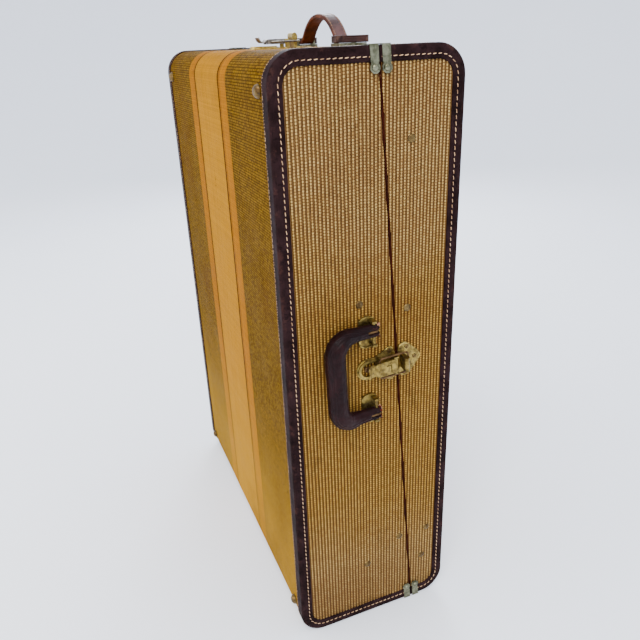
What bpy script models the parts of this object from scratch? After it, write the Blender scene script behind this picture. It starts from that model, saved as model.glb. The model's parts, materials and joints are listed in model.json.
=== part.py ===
"""Hard-sided wardrobe suitcase, standing on its short end.

A plywood box of rounded-rectangle section is split by a slanted seam into a deep
body (towards -Y) and a wedge-shaped lid (towards +Y).  The lid turns on two butt
hinges on the far end panel (-X).  The near end panel (+X) carries a swinging
leather handle and a draw-bolt latch, the top carries a second latch and a strap.

Frame: metres, +Z up, origin on the floor under the middle of the whole object.
Case coordinates have their origin on the floor under the middle of the box.
"""

import math

import bmesh
import bpy
from mathutils import Matrix, Vector

# ------------------------------------------------------------ driving dimensions
HEIGHT = 0.720
WIDTH = 0.500
DEPTH = 0.212
CASE_CENTRE = (-0.0085, 0.0023)
CORNER_RADIUS = 0.032
CORNER_STEPS = 8
SEAM_SHARE_TOP = 0.535
SEAM_SHARE_BOTTOM = 0.770
GAP = 0.0003

BINDING_THICKNESS = 0.0018
BINDING_ON_PANEL = 0.015
BINDING_ON_FACE = 0.019
COVER_THICKNESS = 0.0009
SHELL_THICKNESS = 0.005
LINING_THICKNESS = 0.0008
COVER_SEAM_SETBACK = 0.0015
SHELL_SEAM_SETBACK = 0.0004
LIP_THICKNESS = 0.003
LIP_CLEARANCE = 0.001
LIP_INTO_BODY = 0.014
LIP_INTO_LID = 0.008

FOOT_X = 0.219
FOOT_Z = 0.036
CLIP_WIDTH = 0.009
CLIP_FROM_SEAM = 0.0065
CLIP_THICKNESS = 0.001
CLIP_TAB_RADIUS = 0.0055
CLIP_TAB_DROP = 0.020

LATCH_Z = 0.381
PLATE_THICKNESS = 0.0015
LATCH_AXIS_HEIGHT = 0.009
LEVER_AXIS_U = -0.0055
LEVER_TOP = 0.012
LEVER_HALF_WIDTH = 0.0088
BAIL_AXIS_U = -0.0265
BAIL_END_U = 0.0105
BAIL_HALF_WIDTH = 0.0126
BAIL_WIRE = 0.00125
LATCH_ROUND_END = (-0.0393, 0.0132)
LATCH_EAR = (-0.0101, 0.0163)
LATCH_SCREW_RADIUS = 0.0018
LATCH_PAN_TOP = 0.0042
CATCH_LOBE = (0.0128, 0.0153)
CATCH_TIP = (0.0224, 0.0)
HOOK_HALF_WIDTH = 0.0088
HINGE_HOLE_PLAY = 0.0004

HANDLE_LOWER = (-0.006, 0.327)
HANDLE_UPPER = (-0.009, 0.426)
HANDLE_AXIS_HEIGHT = 0.0092
HANDLE_AXIS_U = 0.0055
HANDLE_LEG_OUT = 0.004
HANDLE_REACH = 0.044
HANDLE_RADIUS = 0.012
HANDLE_BAR_RADIUS = 0.0020
RING_WIRE = 0.0016
RING_RADIUS = 0.0040
RING_REACH = 0.0100

STRAP_Y = 0.0557
STRAP_WIDTH = 0.0175
STRAP_THICKNESS = 0.0045
STRAP_RISE = 0.030
STRAP_HALF_SPAN = 0.062
STRAP_BASE_THICKNESS = 0.004

HINGE_AXIS_OUT = 0.0032
HINGE_HEIGHTS = {"upper": 0.560, "lower": 0.160}
HINGE_LENGTH = 0.060

STAY_LENGTH = 0.120
STAY_FROM_AXIS = 0.110
STAY_BODY_STUD = -0.024
STAY_LID_STUD = 0.014
STAY_LEVEL = 0.0175
STAY_BAR_HALF_WIDTH = 0.006
STAY_BAR_THICKNESS = 0.0018

ROD_YZ = (0.045, 0.631)
GARMENT_STRAP_YZ = {"upper": (-0.0167, 0.460), "lower": (-0.0093, 0.085)}

# ------------------------------------------------------------ derived dimensions
SEAM_TOP_Y = (SEAM_SHARE_TOP - 0.5) * DEPTH
SEAM_BOTTOM_Y = (SEAM_SHARE_BOTTOM - 0.5) * DEPTH
SEAM_ANGLE = math.atan2(SEAM_BOTTOM_Y - SEAM_TOP_Y, HEIGHT)
SEAM_UP = Vector((0, -math.sin(SEAM_ANGLE), math.cos(SEAM_ANGLE)))
SEAM_OUT = Vector((0, math.cos(SEAM_ANGLE), math.sin(SEAM_ANGLE)))
COVER_INSET = BINDING_THICKNESS + GAP
SHELL_INSET = COVER_INSET + COVER_THICKNESS + GAP
LINING_INSET = SHELL_INSET + SHELL_THICKNESS + GAP
LINED_INSET = LINING_INSET + LINING_THICKNESS
LIP_INSET = LINED_INSET + LIP_CLEARANCE
PANEL_X = WIDTH / 2 - COVER_INSET
TOP_Z = HEIGHT - COVER_INSET
HINGE_X = -WIDTH / 2 - HINGE_AXIS_OUT
X_AXIS = Vector((1, 0, 0))
Y_AXIS = Vector((0, 1, 0))
Z_AXIS = Vector((0, 0, 1))

FINISHES = {
    "tweed": ((0.33, 0.19, 0.07), 0.75, 0.0),
    "leather": ((0.05, 0.025, 0.028), 0.45, 0.0),
    "handle_leather": ((0.10, 0.035, 0.025), 0.45, 0.0),
    "strap_leather": ((0.17, 0.09, 0.06), 0.5, 0.0),
    "plywood": ((0.12, 0.03, 0.015), 0.7, 0.0),
    "lining": ((0.42, 0.33, 0.20), 0.85, 0.0),
    "brass": ((0.30, 0.22, 0.08), 0.38, 1.0),
    "nickel": ((0.30, 0.32, 0.24), 0.35, 1.0),
    "bronze": ((0.14, 0.08, 0.04), 0.40, 1.0),
    "steel": ((0.35, 0.34, 0.32), 0.40, 1.0),
    "webbing": ((0.25, 0.17, 0.09), 0.8, 0.0),
    "beech": ((0.45, 0.28, 0.14), 0.5, 0.0),
}


def seam_y(z):
    """Depth position of the seam line at height z."""
    return SEAM_BOTTOM_Y + (SEAM_TOP_Y - SEAM_BOTTOM_Y) * z / HEIGHT


def seam_point(x, z):
    return Vector((x, seam_y(z), z))


# ------------------------------------------------------------ scene and materials
def clear_scene():
    for obj in list(bpy.data.objects):
        bpy.data.objects.remove(obj, do_unlink=True)


def finish_material(name):
    """Principled material for one of the named finishes."""
    found = bpy.data.materials.get(name)
    if found:
        return found
    colour, roughness, metallic = FINISHES[name]
    made = bpy.data.materials.new(name)
    made.use_nodes = True
    shader = made.node_tree.nodes["Principled BSDF"]
    shader.inputs["Base Color"].default_value = (*colour, 1.0)
    shader.inputs["Roughness"].default_value = roughness
    shader.inputs["Metallic"].default_value = metallic
    return made


def place(name, data, finish, pivot, parent):
    """Link an object whose geometry is given in case coordinates."""
    obj = bpy.data.objects.new(name, data)
    bpy.context.scene.collection.objects.link(obj)
    obj.parent = parent
    obj.location = pivot
    if finish:
        obj.data.materials.append(finish_material(finish))
    return obj


def add_mesh(name, bm, finish, pivot=(0, 0, 0), smooth=False):
    """Turn a bmesh in case coordinates into a named object with its origin at pivot."""
    bmesh.ops.translate(bm, verts=bm.verts, vec=-Vector(pivot))
    bmesh.ops.recalc_face_normals(bm, faces=bm.faces)
    mesh = bpy.data.meshes.new(name)
    bm.to_mesh(mesh)
    bm.free()
    if smooth:
        mesh.shade_smooth()
        mesh.set_sharp_from_angle(angle=math.radians(35))
    return place(name, mesh, finish, pivot, ROOT)


def add_cutter(name, bm):
    """Hidden helper solid that a Boolean takes away."""
    cutter = add_mesh(name, bm, None)
    cutter.hide_render = True
    cutter.display_type = "WIRE"
    return cutter


def combine(obj, other, operation="DIFFERENCE"):
    """Boolean modifier on obj; the other solid is kept as a hidden helper."""
    other.hide_render = True
    other.display_type = "WIRE"
    modifier = obj.modifiers.new(other.name, "BOOLEAN")
    modifier.operation = operation
    modifier.solver = "EXACT"
    modifier.object = other


# ------------------------------------------------------------ shape helpers
def rounded_outline(inset):
    """Rounded rectangle (y, z) of the case section, moved in by inset."""
    half, low, high = DEPTH / 2 - inset, inset, HEIGHT - inset
    radius = CORNER_RADIUS - inset
    centres = [
        (half - radius, high - radius, 0),
        (radius - half, high - radius, 90),
        (radius - half, low + radius, 180),
        (half - radius, low + radius, 270),
    ]
    points = []
    for y, z, start in centres:
        for step in range(CORNER_STEPS + 1):
            angle = math.radians(start + 90 * step / CORNER_STEPS)
            points.append((y + radius * math.cos(angle), z + radius * math.sin(angle)))
    return points


def seam_distance(point):
    """Distance from the seam plane, positive on the lid side."""
    y, z = point
    return (y - SEAM_BOTTOM_Y) * SEAM_OUT.y + z * SEAM_OUT.z


def clip_to_side(points, side, offset):
    """Keep the part of a convex outline beyond offset on one side of the seam."""
    kept = []
    for first, second in zip(points, points[1:] + points[:1]):
        d1 = side * seam_distance(first) - offset
        d2 = side * seam_distance(second) - offset
        if d1 >= 0:
            kept.append(first)
        if d1 * d2 < 0:
            share = d1 / (d1 - d2)
            kept.append(tuple(a + (b - a) * share for a, b in zip(first, second)))
    return kept


def extrude_outline(points, matrix, low, high):
    """Prism over a flat outline: outline in local x, y and thickness in local z."""
    bm = bmesh.new()
    face = bm.faces.new([bm.verts.new(matrix @ Vector((a, b, low))) for a, b in points])
    result = bmesh.ops.extrude_face_region(bm, geom=[face])
    tops = [item for item in result["geom"] if isinstance(item, bmesh.types.BMVert)]
    lift = matrix.to_3x3() @ Vector((0, 0, high - low))
    bmesh.ops.translate(bm, verts=tops, vec=lift)
    return bm


def case_prism(points, x_low, x_high):
    """Prism along X over a (y, z) outline."""
    matrix = Matrix(((0, 0, 1, 0), (1, 0, 0, 0), (0, 1, 0, 0), (0, 0, 0, 1)))
    return extrude_outline(points, matrix, x_low, x_high)


def local_frame(origin, u, v, n):
    """Matrix from local (u, v, n) to case coordinates."""
    matrix = Matrix((u, v, n)).transposed().to_4x4()
    matrix.translation = origin
    return matrix


def box(matrix, low, high):
    """Box between two local corners."""
    outline = [(low[0], low[1]), (high[0], low[1]), (high[0], high[1]), (low[0], high[1])]
    return extrude_outline(outline, matrix, low[2], high[2])


def turned(matrix, profile, steps=16):
    """Solid of revolution about local z; the profile runs from pole to pole."""
    bm = bmesh.new()
    rings = []
    for radius, height in profile:
        if radius == 0:
            rings.append([bm.verts.new(matrix @ Vector((0, 0, height)))])
            continue
        angles = [math.tau * i / steps for i in range(steps)]
        ring = [Vector((radius * math.cos(a), radius * math.sin(a), height)) for a in angles]
        rings.append([bm.verts.new(matrix @ point) for point in ring])
    for lower, upper in zip(rings, rings[1:]):
        for i in range(steps):
            corners = [
                lower[i % len(lower)],
                lower[(i + 1) % len(lower)],
                upper[(i + 1) % len(upper)],
                upper[i % len(upper)],
            ]
            bm.faces.new(list(dict.fromkeys(corners)))
    return bm


def cylinder_along(start, end, radius, steps=16):
    """Cylinder between two points."""
    direction = Vector(end) - Vector(start)
    turn = direction.to_track_quat("Z", "Y").to_matrix().to_4x4()
    matrix = Matrix.Translation(start) @ turn
    length = direction.length
    return turned(matrix, [(0, 0), (radius, 0), (radius, length), (0, length)], steps)


def ribbon(stations):
    """Solid strip through stations of (centre, half width vector, half thickness vector)."""
    bm = bmesh.new()
    loops = []
    for centre, side, thick in stations:
        signs = [(-1, -1), (1, -1), (1, 1), (-1, 1)]
        loops.append([bm.verts.new(centre + side * a + thick * b) for a, b in signs])
    for lower, upper in zip(loops, loops[1:]):
        for i in range(4):
            j = (i + 1) % 4
            bm.faces.new((lower[i], lower[j], upper[j], upper[i]))
    bm.faces.new(loops[0])
    bm.faces.new(loops[-1])
    return bm


def arc(centre, radius, start, end, steps):
    """Points (a, b) on an arc, angles in degrees."""
    angles = [math.radians(start + (end - start) * i / steps) for i in range(steps + 1)]
    return [(centre[0] + radius * math.cos(t), centre[1] + radius * math.sin(t)) for t in angles]


def tube(name, points, radius, finish, pivot, cyclic=False, factors=None, resolution=2):
    """Round bar along a list of points, as a curve with a bevel."""
    data = bpy.data.curves.new(name, "CURVE")
    data.dimensions = "3D"
    data.bevel_depth = radius
    data.bevel_resolution = resolution
    data.use_fill_caps = not cyclic
    data.render_resolution_u = 0
    spline = data.splines.new("POLY")
    spline.points.add(len(points) - 1)
    for index, point in enumerate(points):
        spline.points[index].co = (*(point - Vector(pivot)), 1.0)
        spline.points[index].radius = factors[index] if factors else 1.0
    spline.use_cyclic_u = cyclic
    spline.use_smooth = True
    return place(name, data, finish, pivot, ROOT)


# ------------------------------------------------------------ case halves
def make_tray(name, side, inset, setback, finish, cutter):
    """One open half of a nested box: cover, shell or lining."""
    outline = clip_to_side(rounded_outline(inset), side, setback)
    reach = WIDTH / 2 - inset
    tray = add_mesh(name, case_prism(outline, -reach, reach), finish)
    combine(tray, cutter)
    return tray


def make_trays():
    layers = [
        ("cover", COVER_INSET, COVER_THICKNESS, COVER_SEAM_SETBACK, "tweed"),
        ("shell", SHELL_INSET, SHELL_THICKNESS, SHELL_SEAM_SETBACK, "plywood"),
        ("lining", LINING_INSET, LINING_THICKNESS, COVER_SEAM_SETBACK, "lining"),
    ]
    for layer, inset, thickness, setback, finish in layers:
        hollow = inset + thickness
        reach = WIDTH / 2 - hollow
        cutter = add_cutter(f"cut_{layer}", case_prism(rounded_outline(hollow), -reach, reach))
        for half, side in (("body", -1), ("lid", 1)):
            make_tray(f"{half}_{layer}", side, inset, setback, finish, cutter)


def make_lip():
    """Locating frame fixed inside the body, standing into the lid."""
    outline = clip_to_side(rounded_outline(LIP_INSET), 1, -LIP_INTO_BODY)
    outline = clip_to_side(outline, -1, -LIP_INTO_LID)
    reach = WIDTH / 2 - LIP_INSET
    lip = add_mesh("body_lip", case_prism(outline, -reach, reach), "plywood")
    inner = LIP_INSET + LIP_THICKNESS
    reach = WIDTH / 2 - inner
    combine(lip, add_cutter("cut_lip", case_prism(rounded_outline(inner), -reach, reach)))


def make_bindings():
    """Leather edge bindings: an L section round each end panel, cut at the seam."""
    over = 0.01
    for end, sign in (("near", 1), ("far", -1)):
        outer = sign * WIDTH / 2
        inner = sign * (WIDTH / 2 - BINDING_ON_FACE)
        back = sign * (WIDTH / 2 - BINDING_THICKNESS)
        pocket_span = sorted((inner - sign * over, back))
        window_span = sorted((back - sign * over, outer + sign * over))
        pocket = case_prism(rounded_outline(BINDING_THICKNESS), *pocket_span)
        window = case_prism(rounded_outline(BINDING_ON_PANEL), *window_span)
        cutters = [add_cutter(f"cut_pocket_{end}", pocket), add_cutter(f"cut_window_{end}", window)]
        for half, side in (("body", -1), ("lid", 1)):
            outline = clip_to_side(rounded_outline(0), side, SHELL_SEAM_SETBACK)
            solid = case_prism(outline, *sorted((inner, outer)))
            binding = add_mesh(f"{half}_binding_{end}", solid, "leather")
            for cutter in cutters:
                combine(binding, cutter)


def make_feet():
    """Dome studs the case lies on when its front face is down."""
    profile = [(0, 0), (0.0062, 0), (0.0068, 0.0012), (0.0060, 0.0035)]
    profile += [(0.0036, 0.0056), (0, 0.0064)]
    heights = {"upper": HEIGHT - FOOT_Z, "lower": FOOT_Z}
    for end, sign in (("near", 1), ("far", -1)):
        for level, z in heights.items():
            origin = Vector((sign * FOOT_X, -DEPTH / 2 + COVER_INSET - GAP, z))
            matrix = local_frame(origin, X_AXIS, Z_AXIS, -Y_AXIS)
            add_mesh(f"foot_stud_{end}_{level}", turned(matrix, profile), "bronze", smooth=True)


def clip_tab(x, base_z, direction, side):
    """Stations of a seam clip's leg on the end panel, ending in a round tab."""
    half = CLIP_WIDTH / 2
    thick = X_AXIS * (CLIP_THICKNESS / 2)
    drops = [0.0, CLIP_TAB_DROP - 0.006]
    widths = [half, half]
    for degrees in (-45, -15, 15, 45, 75):
        drops.append(CLIP_TAB_DROP + CLIP_TAB_RADIUS * math.sin(math.radians(degrees)))
        widths.append(CLIP_TAB_RADIUS * math.cos(math.radians(degrees)))
    stations = []
    for drop, width in zip(drops, widths):
        z = base_z + direction * drop
        centre = Vector((x, seam_y(z) + side * CLIP_FROM_SEAM, z))
        stations.append((centre, Y_AXIS * width, thick))
    return stations


def make_clips():
    """Metal straps on both sides of the seam at each corner of the end panels."""
    lift = GAP + CLIP_THICKNESS / 2
    half = CLIP_THICKNESS / 2
    for end, sign in (("near", 1), ("far", -1)):
        x = sign * (WIDTH / 2 + lift)
        for half_name, side in (("body", -1), ("lid", 1)):
            top = HEIGHT + lift
            y = seam_y(HEIGHT) + side * CLIP_FROM_SEAM
            width = Y_AXIS * (CLIP_WIDTH / 2)
            start = (Vector((x - sign * 0.021, y, top)), width, Z_AXIS * half)
            corner = (Vector((x, y, top)), width, Vector((sign * half, 0, half)))
            tab = clip_tab(x, HEIGHT, -1, side)[1:]
            tab = [(centre, across, thick * sign) for centre, across, thick in tab]
            name = f"{half_name}_clip_{end}_upper"
            add_mesh(name, ribbon([start, corner] + tab), "nickel")
            lower = clip_tab(x, 0.0006, 1, side)
            add_mesh(f"{half_name}_clip_{end}_lower", ribbon(lower), "nickel")


# ------------------------------------------------------------ draw-bolt latches
def mirrored_outline(points):
    """Outline made from its upper half, listed from the left end to the right."""
    return points + [(a, -b) for a, b in reversed(points)]


def plate(matrix, outline):
    return extrude_outline(outline, matrix, GAP, GAP + PLATE_THICKNESS)


def side_profile(matrix, profile, half_width):
    """Solid over a (u, n) outline, reaching half_width to both sides of the u axis."""
    turn = Matrix(((1, 0, 0, 0), (0, 0, 1, 0), (0, 1, 0, 0), (0, 0, 0, 1)))
    return extrude_outline(profile, matrix @ turn, -half_width, half_width)


def bar_across(matrix, u, v, height, half_length, radius, steps=12):
    """Cylinder parallel to the v axis."""
    start = matrix @ Vector((u, v - half_length, height))
    end = matrix @ Vector((u, v + half_length, height))
    return cylinder_along(start, end, radius, steps)


def drill(obj, name, matrix, centres, radius):
    """Round holes square through a plate."""
    for index, (u, v) in enumerate(centres):
        start = matrix @ Vector((u, v, -0.002))
        end = matrix @ Vector((u, v, 0.006))
        cutter = add_cutter(f"{name}_{index}", cylinder_along(start, end, radius, 12))
        combine(obj, cutter)


def make_latch(name, matrix):
    """Base, lever, pin, wire bail and catch; u points across the seam to the lid."""
    lever_axis = matrix @ Vector((LEVER_AXIS_U, 0, LATCH_AXIS_HEIGHT))
    bail_axis = matrix @ Vector((BAIL_AXIS_U, 0, LATCH_AXIS_HEIGHT))
    pin_radius, pin_half_length = 0.0012, 0.0109
    pin_hole = add_cutter(
        f"cut_{name}_pin",
        bar_across(matrix, LEVER_AXIS_U, 0, LATCH_AXIS_HEIGHT, 0.015, pin_radius + GAP),
    )
    bail_hole = add_cutter(
        f"cut_{name}_bail",
        bar_across(matrix, BAIL_AXIS_U, 0, LATCH_AXIS_HEIGHT, 0.015, BAIL_WIRE + HINGE_HOLE_PLAY),
    )
    make_latch_base(name, matrix, pin_hole)
    make_latch_lever(name, matrix, lever_axis, (pin_hole, bail_hole))
    pin = bar_across(matrix, LEVER_AXIS_U, 0, LATCH_AXIS_HEIGHT, pin_half_length, pin_radius)
    add_mesh(f"{name}_latch_pin", pin, "steel", smooth=True)
    make_latch_bail(name, matrix, bail_axis)
    make_latch_catch(name, matrix)


def latch_base_outline():
    """Round left end, a waist that flares into the two screwed ears, a straight right edge."""
    left, radius = LATCH_ROUND_END
    round_end = arc((left, 0), radius, 170, 90, 6)
    ear = arc((LATCH_EAR[0], LATCH_EAR[1] - 0.0003), 0.0056, 135, 0, 7)
    return mirrored_outline(round_end + [(-0.0285, 0.0128)] + ear + [(-0.0028, 0.0120)])


def latch_pan_outline():
    """Raised dish on the base's round end, a little inside the flange."""
    left, radius = LATCH_ROUND_END
    return mirrored_outline(arc((left, 0), radius - 0.0016, 170, 90, 6) + [(-0.0200, 0.0112)])


def make_latch_base(name, matrix, pin_hole):
    base = add_mesh(f"{name}_latch_base", plate(matrix, latch_base_outline()), "brass")
    pan = extrude_outline(latch_pan_outline(), matrix, GAP + 0.0007, LATCH_PAN_TOP)
    combine(base, add_cutter(f"add_{name}_pan", pan), "UNION")
    lug_inside = LEVER_HALF_WIDTH + 0.0006
    lug_outside = lug_inside + 0.0014
    for label, low, high in (("a", -lug_outside, -lug_inside), ("b", lug_inside, lug_outside)):
        reach, top = 0.0032, LATCH_AXIS_HEIGHT + 0.0030
        low_corner = (LEVER_AXIS_U - reach, low, GAP + 0.0007)
        lug = box(matrix, low_corner, (LEVER_AXIS_U + 0.0024, high, top))
        combine(base, add_cutter(f"add_{name}_lug_{label}", lug), "UNION")
    left = LATCH_ROUND_END[0]
    window = arc((left, 0), 0.0084, 90, 270, 10) + [(-0.0290, -0.0084), (-0.0290, 0.0084)]
    combine(base, add_cutter(f"cut_{name}_window", extrude_outline(window, matrix, -0.002, 0.006)))
    combine(base, pin_hole)
    ears = [LATCH_EAR, (LATCH_EAR[0], -LATCH_EAR[1])]
    drill(base, f"cut_{name}_ear", matrix, ears, LATCH_SCREW_RADIUS)


def lever_channel_profile():
    """Side view (u, n) of the lever's box section, with the barrel round the pin."""
    barrel = arc((LEVER_AXIS_U, LATCH_AXIS_HEIGHT), 0.0029, 100, -120, 10)
    bottom, left = 0.0062, -0.0306
    return [(left, LEVER_TOP - 0.0008), (left + 0.0008, LEVER_TOP), (-0.0085, LEVER_TOP)] + barrel + [
        (-0.0095, bottom),
        (left, bottom),
    ]


def lever_finger_profile():
    """Side view (u, n) of the finger tongue: down into a valley and up to a lip."""
    path = [(-0.0296, 0.0113), (-0.0312, 0.0106), (-0.0330, 0.0090), (-0.0354, 0.0082)]
    path += [(-0.0378, 0.0086), (-0.0397, 0.0102), (-0.0409, 0.0122), (-0.0418, 0.0142)]
    half = 0.0006
    upper, lower = [], []
    for index, point in enumerate(path):
        before = Vector(path[max(index - 1, 0)])
        after = Vector(path[min(index + 1, len(path) - 1)])
        along = (after - before).normalized()
        side = Vector((-along.y, along.x)) * half
        upper.append(tuple(Vector(point) + side))
        lower.append(tuple(Vector(point) - side))
    return upper + lower[::-1]


def make_latch_lever(name, matrix, lever_axis, holes):
    """Channel-shaped lever with an L-shaped slot in its top and a curled finger tongue."""
    solid = side_profile(matrix, lever_channel_profile(), LEVER_HALF_WIDTH)
    lever = add_mesh(f"{name}_latch_lever", solid, "brass", lever_axis)
    wall = 0.0014
    inside = LEVER_HALF_WIDTH - wall
    hollow = box(matrix, (-0.0400, -inside, 0.0), (-0.0100, inside, LEVER_TOP - wall))
    combine(lever, add_cutter(f"cut_{name}_channel", hollow))
    finger = side_profile(matrix, lever_finger_profile(), 0.0073)
    combine(lever, add_cutter(f"add_{name}_finger", finger), "UNION")
    for hole in holes:
        combine(lever, hole)
    slots = (((-0.0190, 0.0023), (-0.0125, 0.0035)), ((-0.0137, -0.0070), (-0.0125, 0.0029)))
    for index, (low, high) in enumerate(slots):
        slot = box(matrix, (*low, LEVER_TOP - 2 * wall), (*high, LEVER_TOP + wall))
        combine(lever, add_cutter(f"cut_{name}_slot_{index}", slot))


def make_latch_bail(name, matrix, bail_axis):
    """Closed wire loop that turns in the lever's sides and draws the catch."""
    radius = 0.0038
    left, right, half = BAIL_AXIS_U, BAIL_END_U, BAIL_HALF_WIDTH
    corners = [
        ((right - radius, half - radius), 90, 0),
        ((right - radius, radius - half), 0, -90),
        ((left + radius, radius - half), -90, -180),
        ((left + radius, half - radius), 180, 90),
    ]
    outline = [point for centre, start, end in corners for point in arc(centre, radius, start, end, 4)]
    points = [matrix @ Vector((u, v, LATCH_AXIS_HEIGHT)) for u, v in outline]
    tube(f"{name}_latch_bail", points, BAIL_WIRE, "steel", bail_axis, cyclic=True)


def latch_catch_outline():
    """Three screwed lobes: one each side and one at the tip."""
    lobe = arc((CATCH_LOBE[0] - 0.0040, CATCH_LOBE[1] - 0.0013), 0.0080, 195, 42, 9)
    tip = arc(CATCH_TIP, 0.0078, 42, 8, 4)
    return mirrored_outline([(0.0028, 0.0080)] + lobe + tip)


def make_latch_catch(name, matrix):
    """Catch plate with a domed hook; its nose stops short of the bail, which lifts past it."""
    catch = add_mesh(f"{name}_latch_catch", plate(matrix, latch_catch_outline()), "brass")
    hook = [(0.0034, 0.0010), (0.0028, 0.0085), (0.0018, 0.0135), (0.0020, 0.0164)]
    hook += [(0.0036, 0.0184), (0.0056, 0.0188), (0.0076, 0.0176), (0.0088, 0.0152)]
    hook += [(0.0090, 0.0132), (0.0084, 0.0120), (0.0078, 0.0108), (0.0080, 0.0010)]
    solid = side_profile(matrix, hook, HOOK_HALF_WIDTH)
    combine(catch, add_cutter(f"add_{name}_hook", solid), "UNION")
    centres = [CATCH_LOBE, (CATCH_LOBE[0], -CATCH_LOBE[1]), CATCH_TIP]
    drill(catch, f"cut_{name}_catch", matrix, centres, LATCH_SCREW_RADIUS)


def make_latches():
    near = local_frame(seam_point(PANEL_X, LATCH_Z), SEAM_OUT, SEAM_UP, X_AXIS)
    make_latch("near", near)
    top = local_frame(seam_point(0, TOP_Z), Y_AXIS, -X_AXIS, Z_AXIS)
    make_latch("top", top)


# ------------------------------------------------------------ carrying handle
def handle_frame():
    """Frame on the near panel, midway between the brackets, with v along the swing axis."""
    lower = Vector((PANEL_X, *HANDLE_LOWER))
    upper = Vector((PANEL_X, *HANDLE_UPPER))
    up = (upper - lower).normalized()
    return local_frame((lower + upper) / 2, up.cross(X_AXIS), up, X_AXIS), (upper - lower).length / 2


def handle_stations(leg):
    """(u, v, height, half width, half height) along the grip, from one end to the other."""
    lug = [(0.0066, 0.0042, 0.0030), (0.0054, 0.0066, 0.0050), (0.0030, 0.0078, 0.0062)]
    lug += [(0.0, 0.0083, 0.0067), (-0.0055, 0.0083, 0.0067)]
    leg_end, leg_width, leg_height = HANDLE_AXIS_U - 0.0165, 0.0085, 0.0070
    bend = 0.020
    corner = (bend - HANDLE_REACH, leg - bend)
    quarter = [(leg_end, leg), ((leg_end + corner[0]) / 2, leg)] + arc(corner, bend, 90, 180, 8)
    quarter += [(-HANDLE_REACH, corner[1] * share) for share in (0.66, 0.33)]
    half = []
    for offset, width, height in lug:
        half.append((HANDLE_AXIS_U + offset, leg, HANDLE_AXIS_HEIGHT, width, height))
    for u, v in quarter:
        share = min(1.0, (leg_end - u) / (leg_end + HANDLE_REACH))
        share = share * share * (3 - 2 * share)
        width = leg_width + (HANDLE_RADIUS - leg_width) * share
        height = leg_height + (HANDLE_RADIUS - leg_height) * share
        half.append((u, v, height + 0.0024 - 0.0016 * share, width, height))
    middle = (-HANDLE_REACH, 0.0, HANDLE_RADIUS + 0.0008, HANDLE_RADIUS, HANDLE_RADIUS)
    return half + [middle] + [(u, -v, n, w, h) for u, v, n, w, h in reversed(half)]


def make_handle():
    matrix, leg = handle_frame()
    leg_v = leg + HANDLE_LEG_OUT
    pivot = matrix @ Vector((HANDLE_AXIS_U, 0, HANDLE_AXIS_HEIGHT))
    grip = add_mesh("handle_grip", oval_bar(matrix, handle_stations(leg_v)), "handle_leather", pivot, True)
    for level, sign in (("upper", 1), ("lower", -1)):
        open_handle_end(grip, level, matrix, sign * leg_v)
        make_handle_ring(level, matrix, sign * leg_v, pivot)
        make_handle_bracket(level, matrix, sign * leg)


def oval_bar(matrix, stations, steps=18):
    """Bar of oval section along stations (u, v, height, half width, half height)."""
    bm = bmesh.new()
    loops = []
    for index, (u, v, n, width, height) in enumerate(stations):
        before = stations[max(index - 1, 0)]
        after = stations[min(index + 1, len(stations) - 1)]
        along = Vector((after[0] - before[0], after[1] - before[1], 0)).normalized()
        side = Vector((-along.y, along.x, 0))
        loop = []
        for step in range(steps):
            angle = math.tau * step / steps
            point = Vector((u, v, n)) + side * (width * math.cos(angle))
            point.z += height * math.sin(angle)
            loop.append(bm.verts.new(matrix @ point))
        loops.append(loop)
    for lower, upper in zip(loops, loops[1:]):
        for i in range(steps):
            j = (i + 1) % steps
            bm.faces.new((lower[i], lower[j], upper[j], upper[i]))
    bm.faces.new(loops[0])
    bm.faces.new(loops[-1])
    return bm


def open_handle_end(grip, level, matrix, v):
    """Slot for the ring, the post the ring turns on, and the bore for the bracket's bar."""
    half_slot = RING_WIRE + 0.00045
    ring_far = HANDLE_AXIS_U - RING_REACH
    slot_left = ring_far - RING_RADIUS - RING_WIRE - 0.0005
    slot_half_height = RING_RADIUS + RING_WIRE + 0.0005
    mouth = (-0.0040, v - half_slot, -0.002), (0.0150, v + half_slot, 0.022)
    pocket = (
        (slot_left, v - half_slot, HANDLE_AXIS_HEIGHT - slot_half_height),
        (0.0, v + half_slot, HANDLE_AXIS_HEIGHT + slot_half_height),
    )
    combine(grip, add_cutter(f"cut_{level}_mouth", box(matrix, *mouth)))
    combine(grip, add_cutter(f"cut_{level}_pocket", box(matrix, *pocket)))
    post = bar_across(matrix, ring_far, v, HANDLE_AXIS_HEIGHT, 0.0030, HANDLE_BAR_RADIUS)
    combine(grip, add_cutter(f"add_{level}_ring_post", post), "UNION")
    radius = HANDLE_BAR_RADIUS + HINGE_HOLE_PLAY
    bore = bar_across(matrix, HANDLE_AXIS_U, v, HANDLE_AXIS_HEIGHT, 0.0100, radius)
    combine(grip, add_cutter(f"cut_{level}_bore", bore))


def make_handle_ring(level, matrix, v, pivot):
    """Steel link inside the leather, from the grip's post round the bracket's bar."""
    far = HANDLE_AXIS_U - RING_REACH
    outline = arc((HANDLE_AXIS_U, HANDLE_AXIS_HEIGHT), RING_RADIUS, 90, -90, 6)
    outline += arc((far, HANDLE_AXIS_HEIGHT), RING_RADIUS, -90, -270, 6)
    points = [matrix @ Vector((u, v, n)) for u, n in outline]
    tube(f"handle_ring_{level}", points, RING_WIRE, "steel", pivot, cyclic=True)


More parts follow.
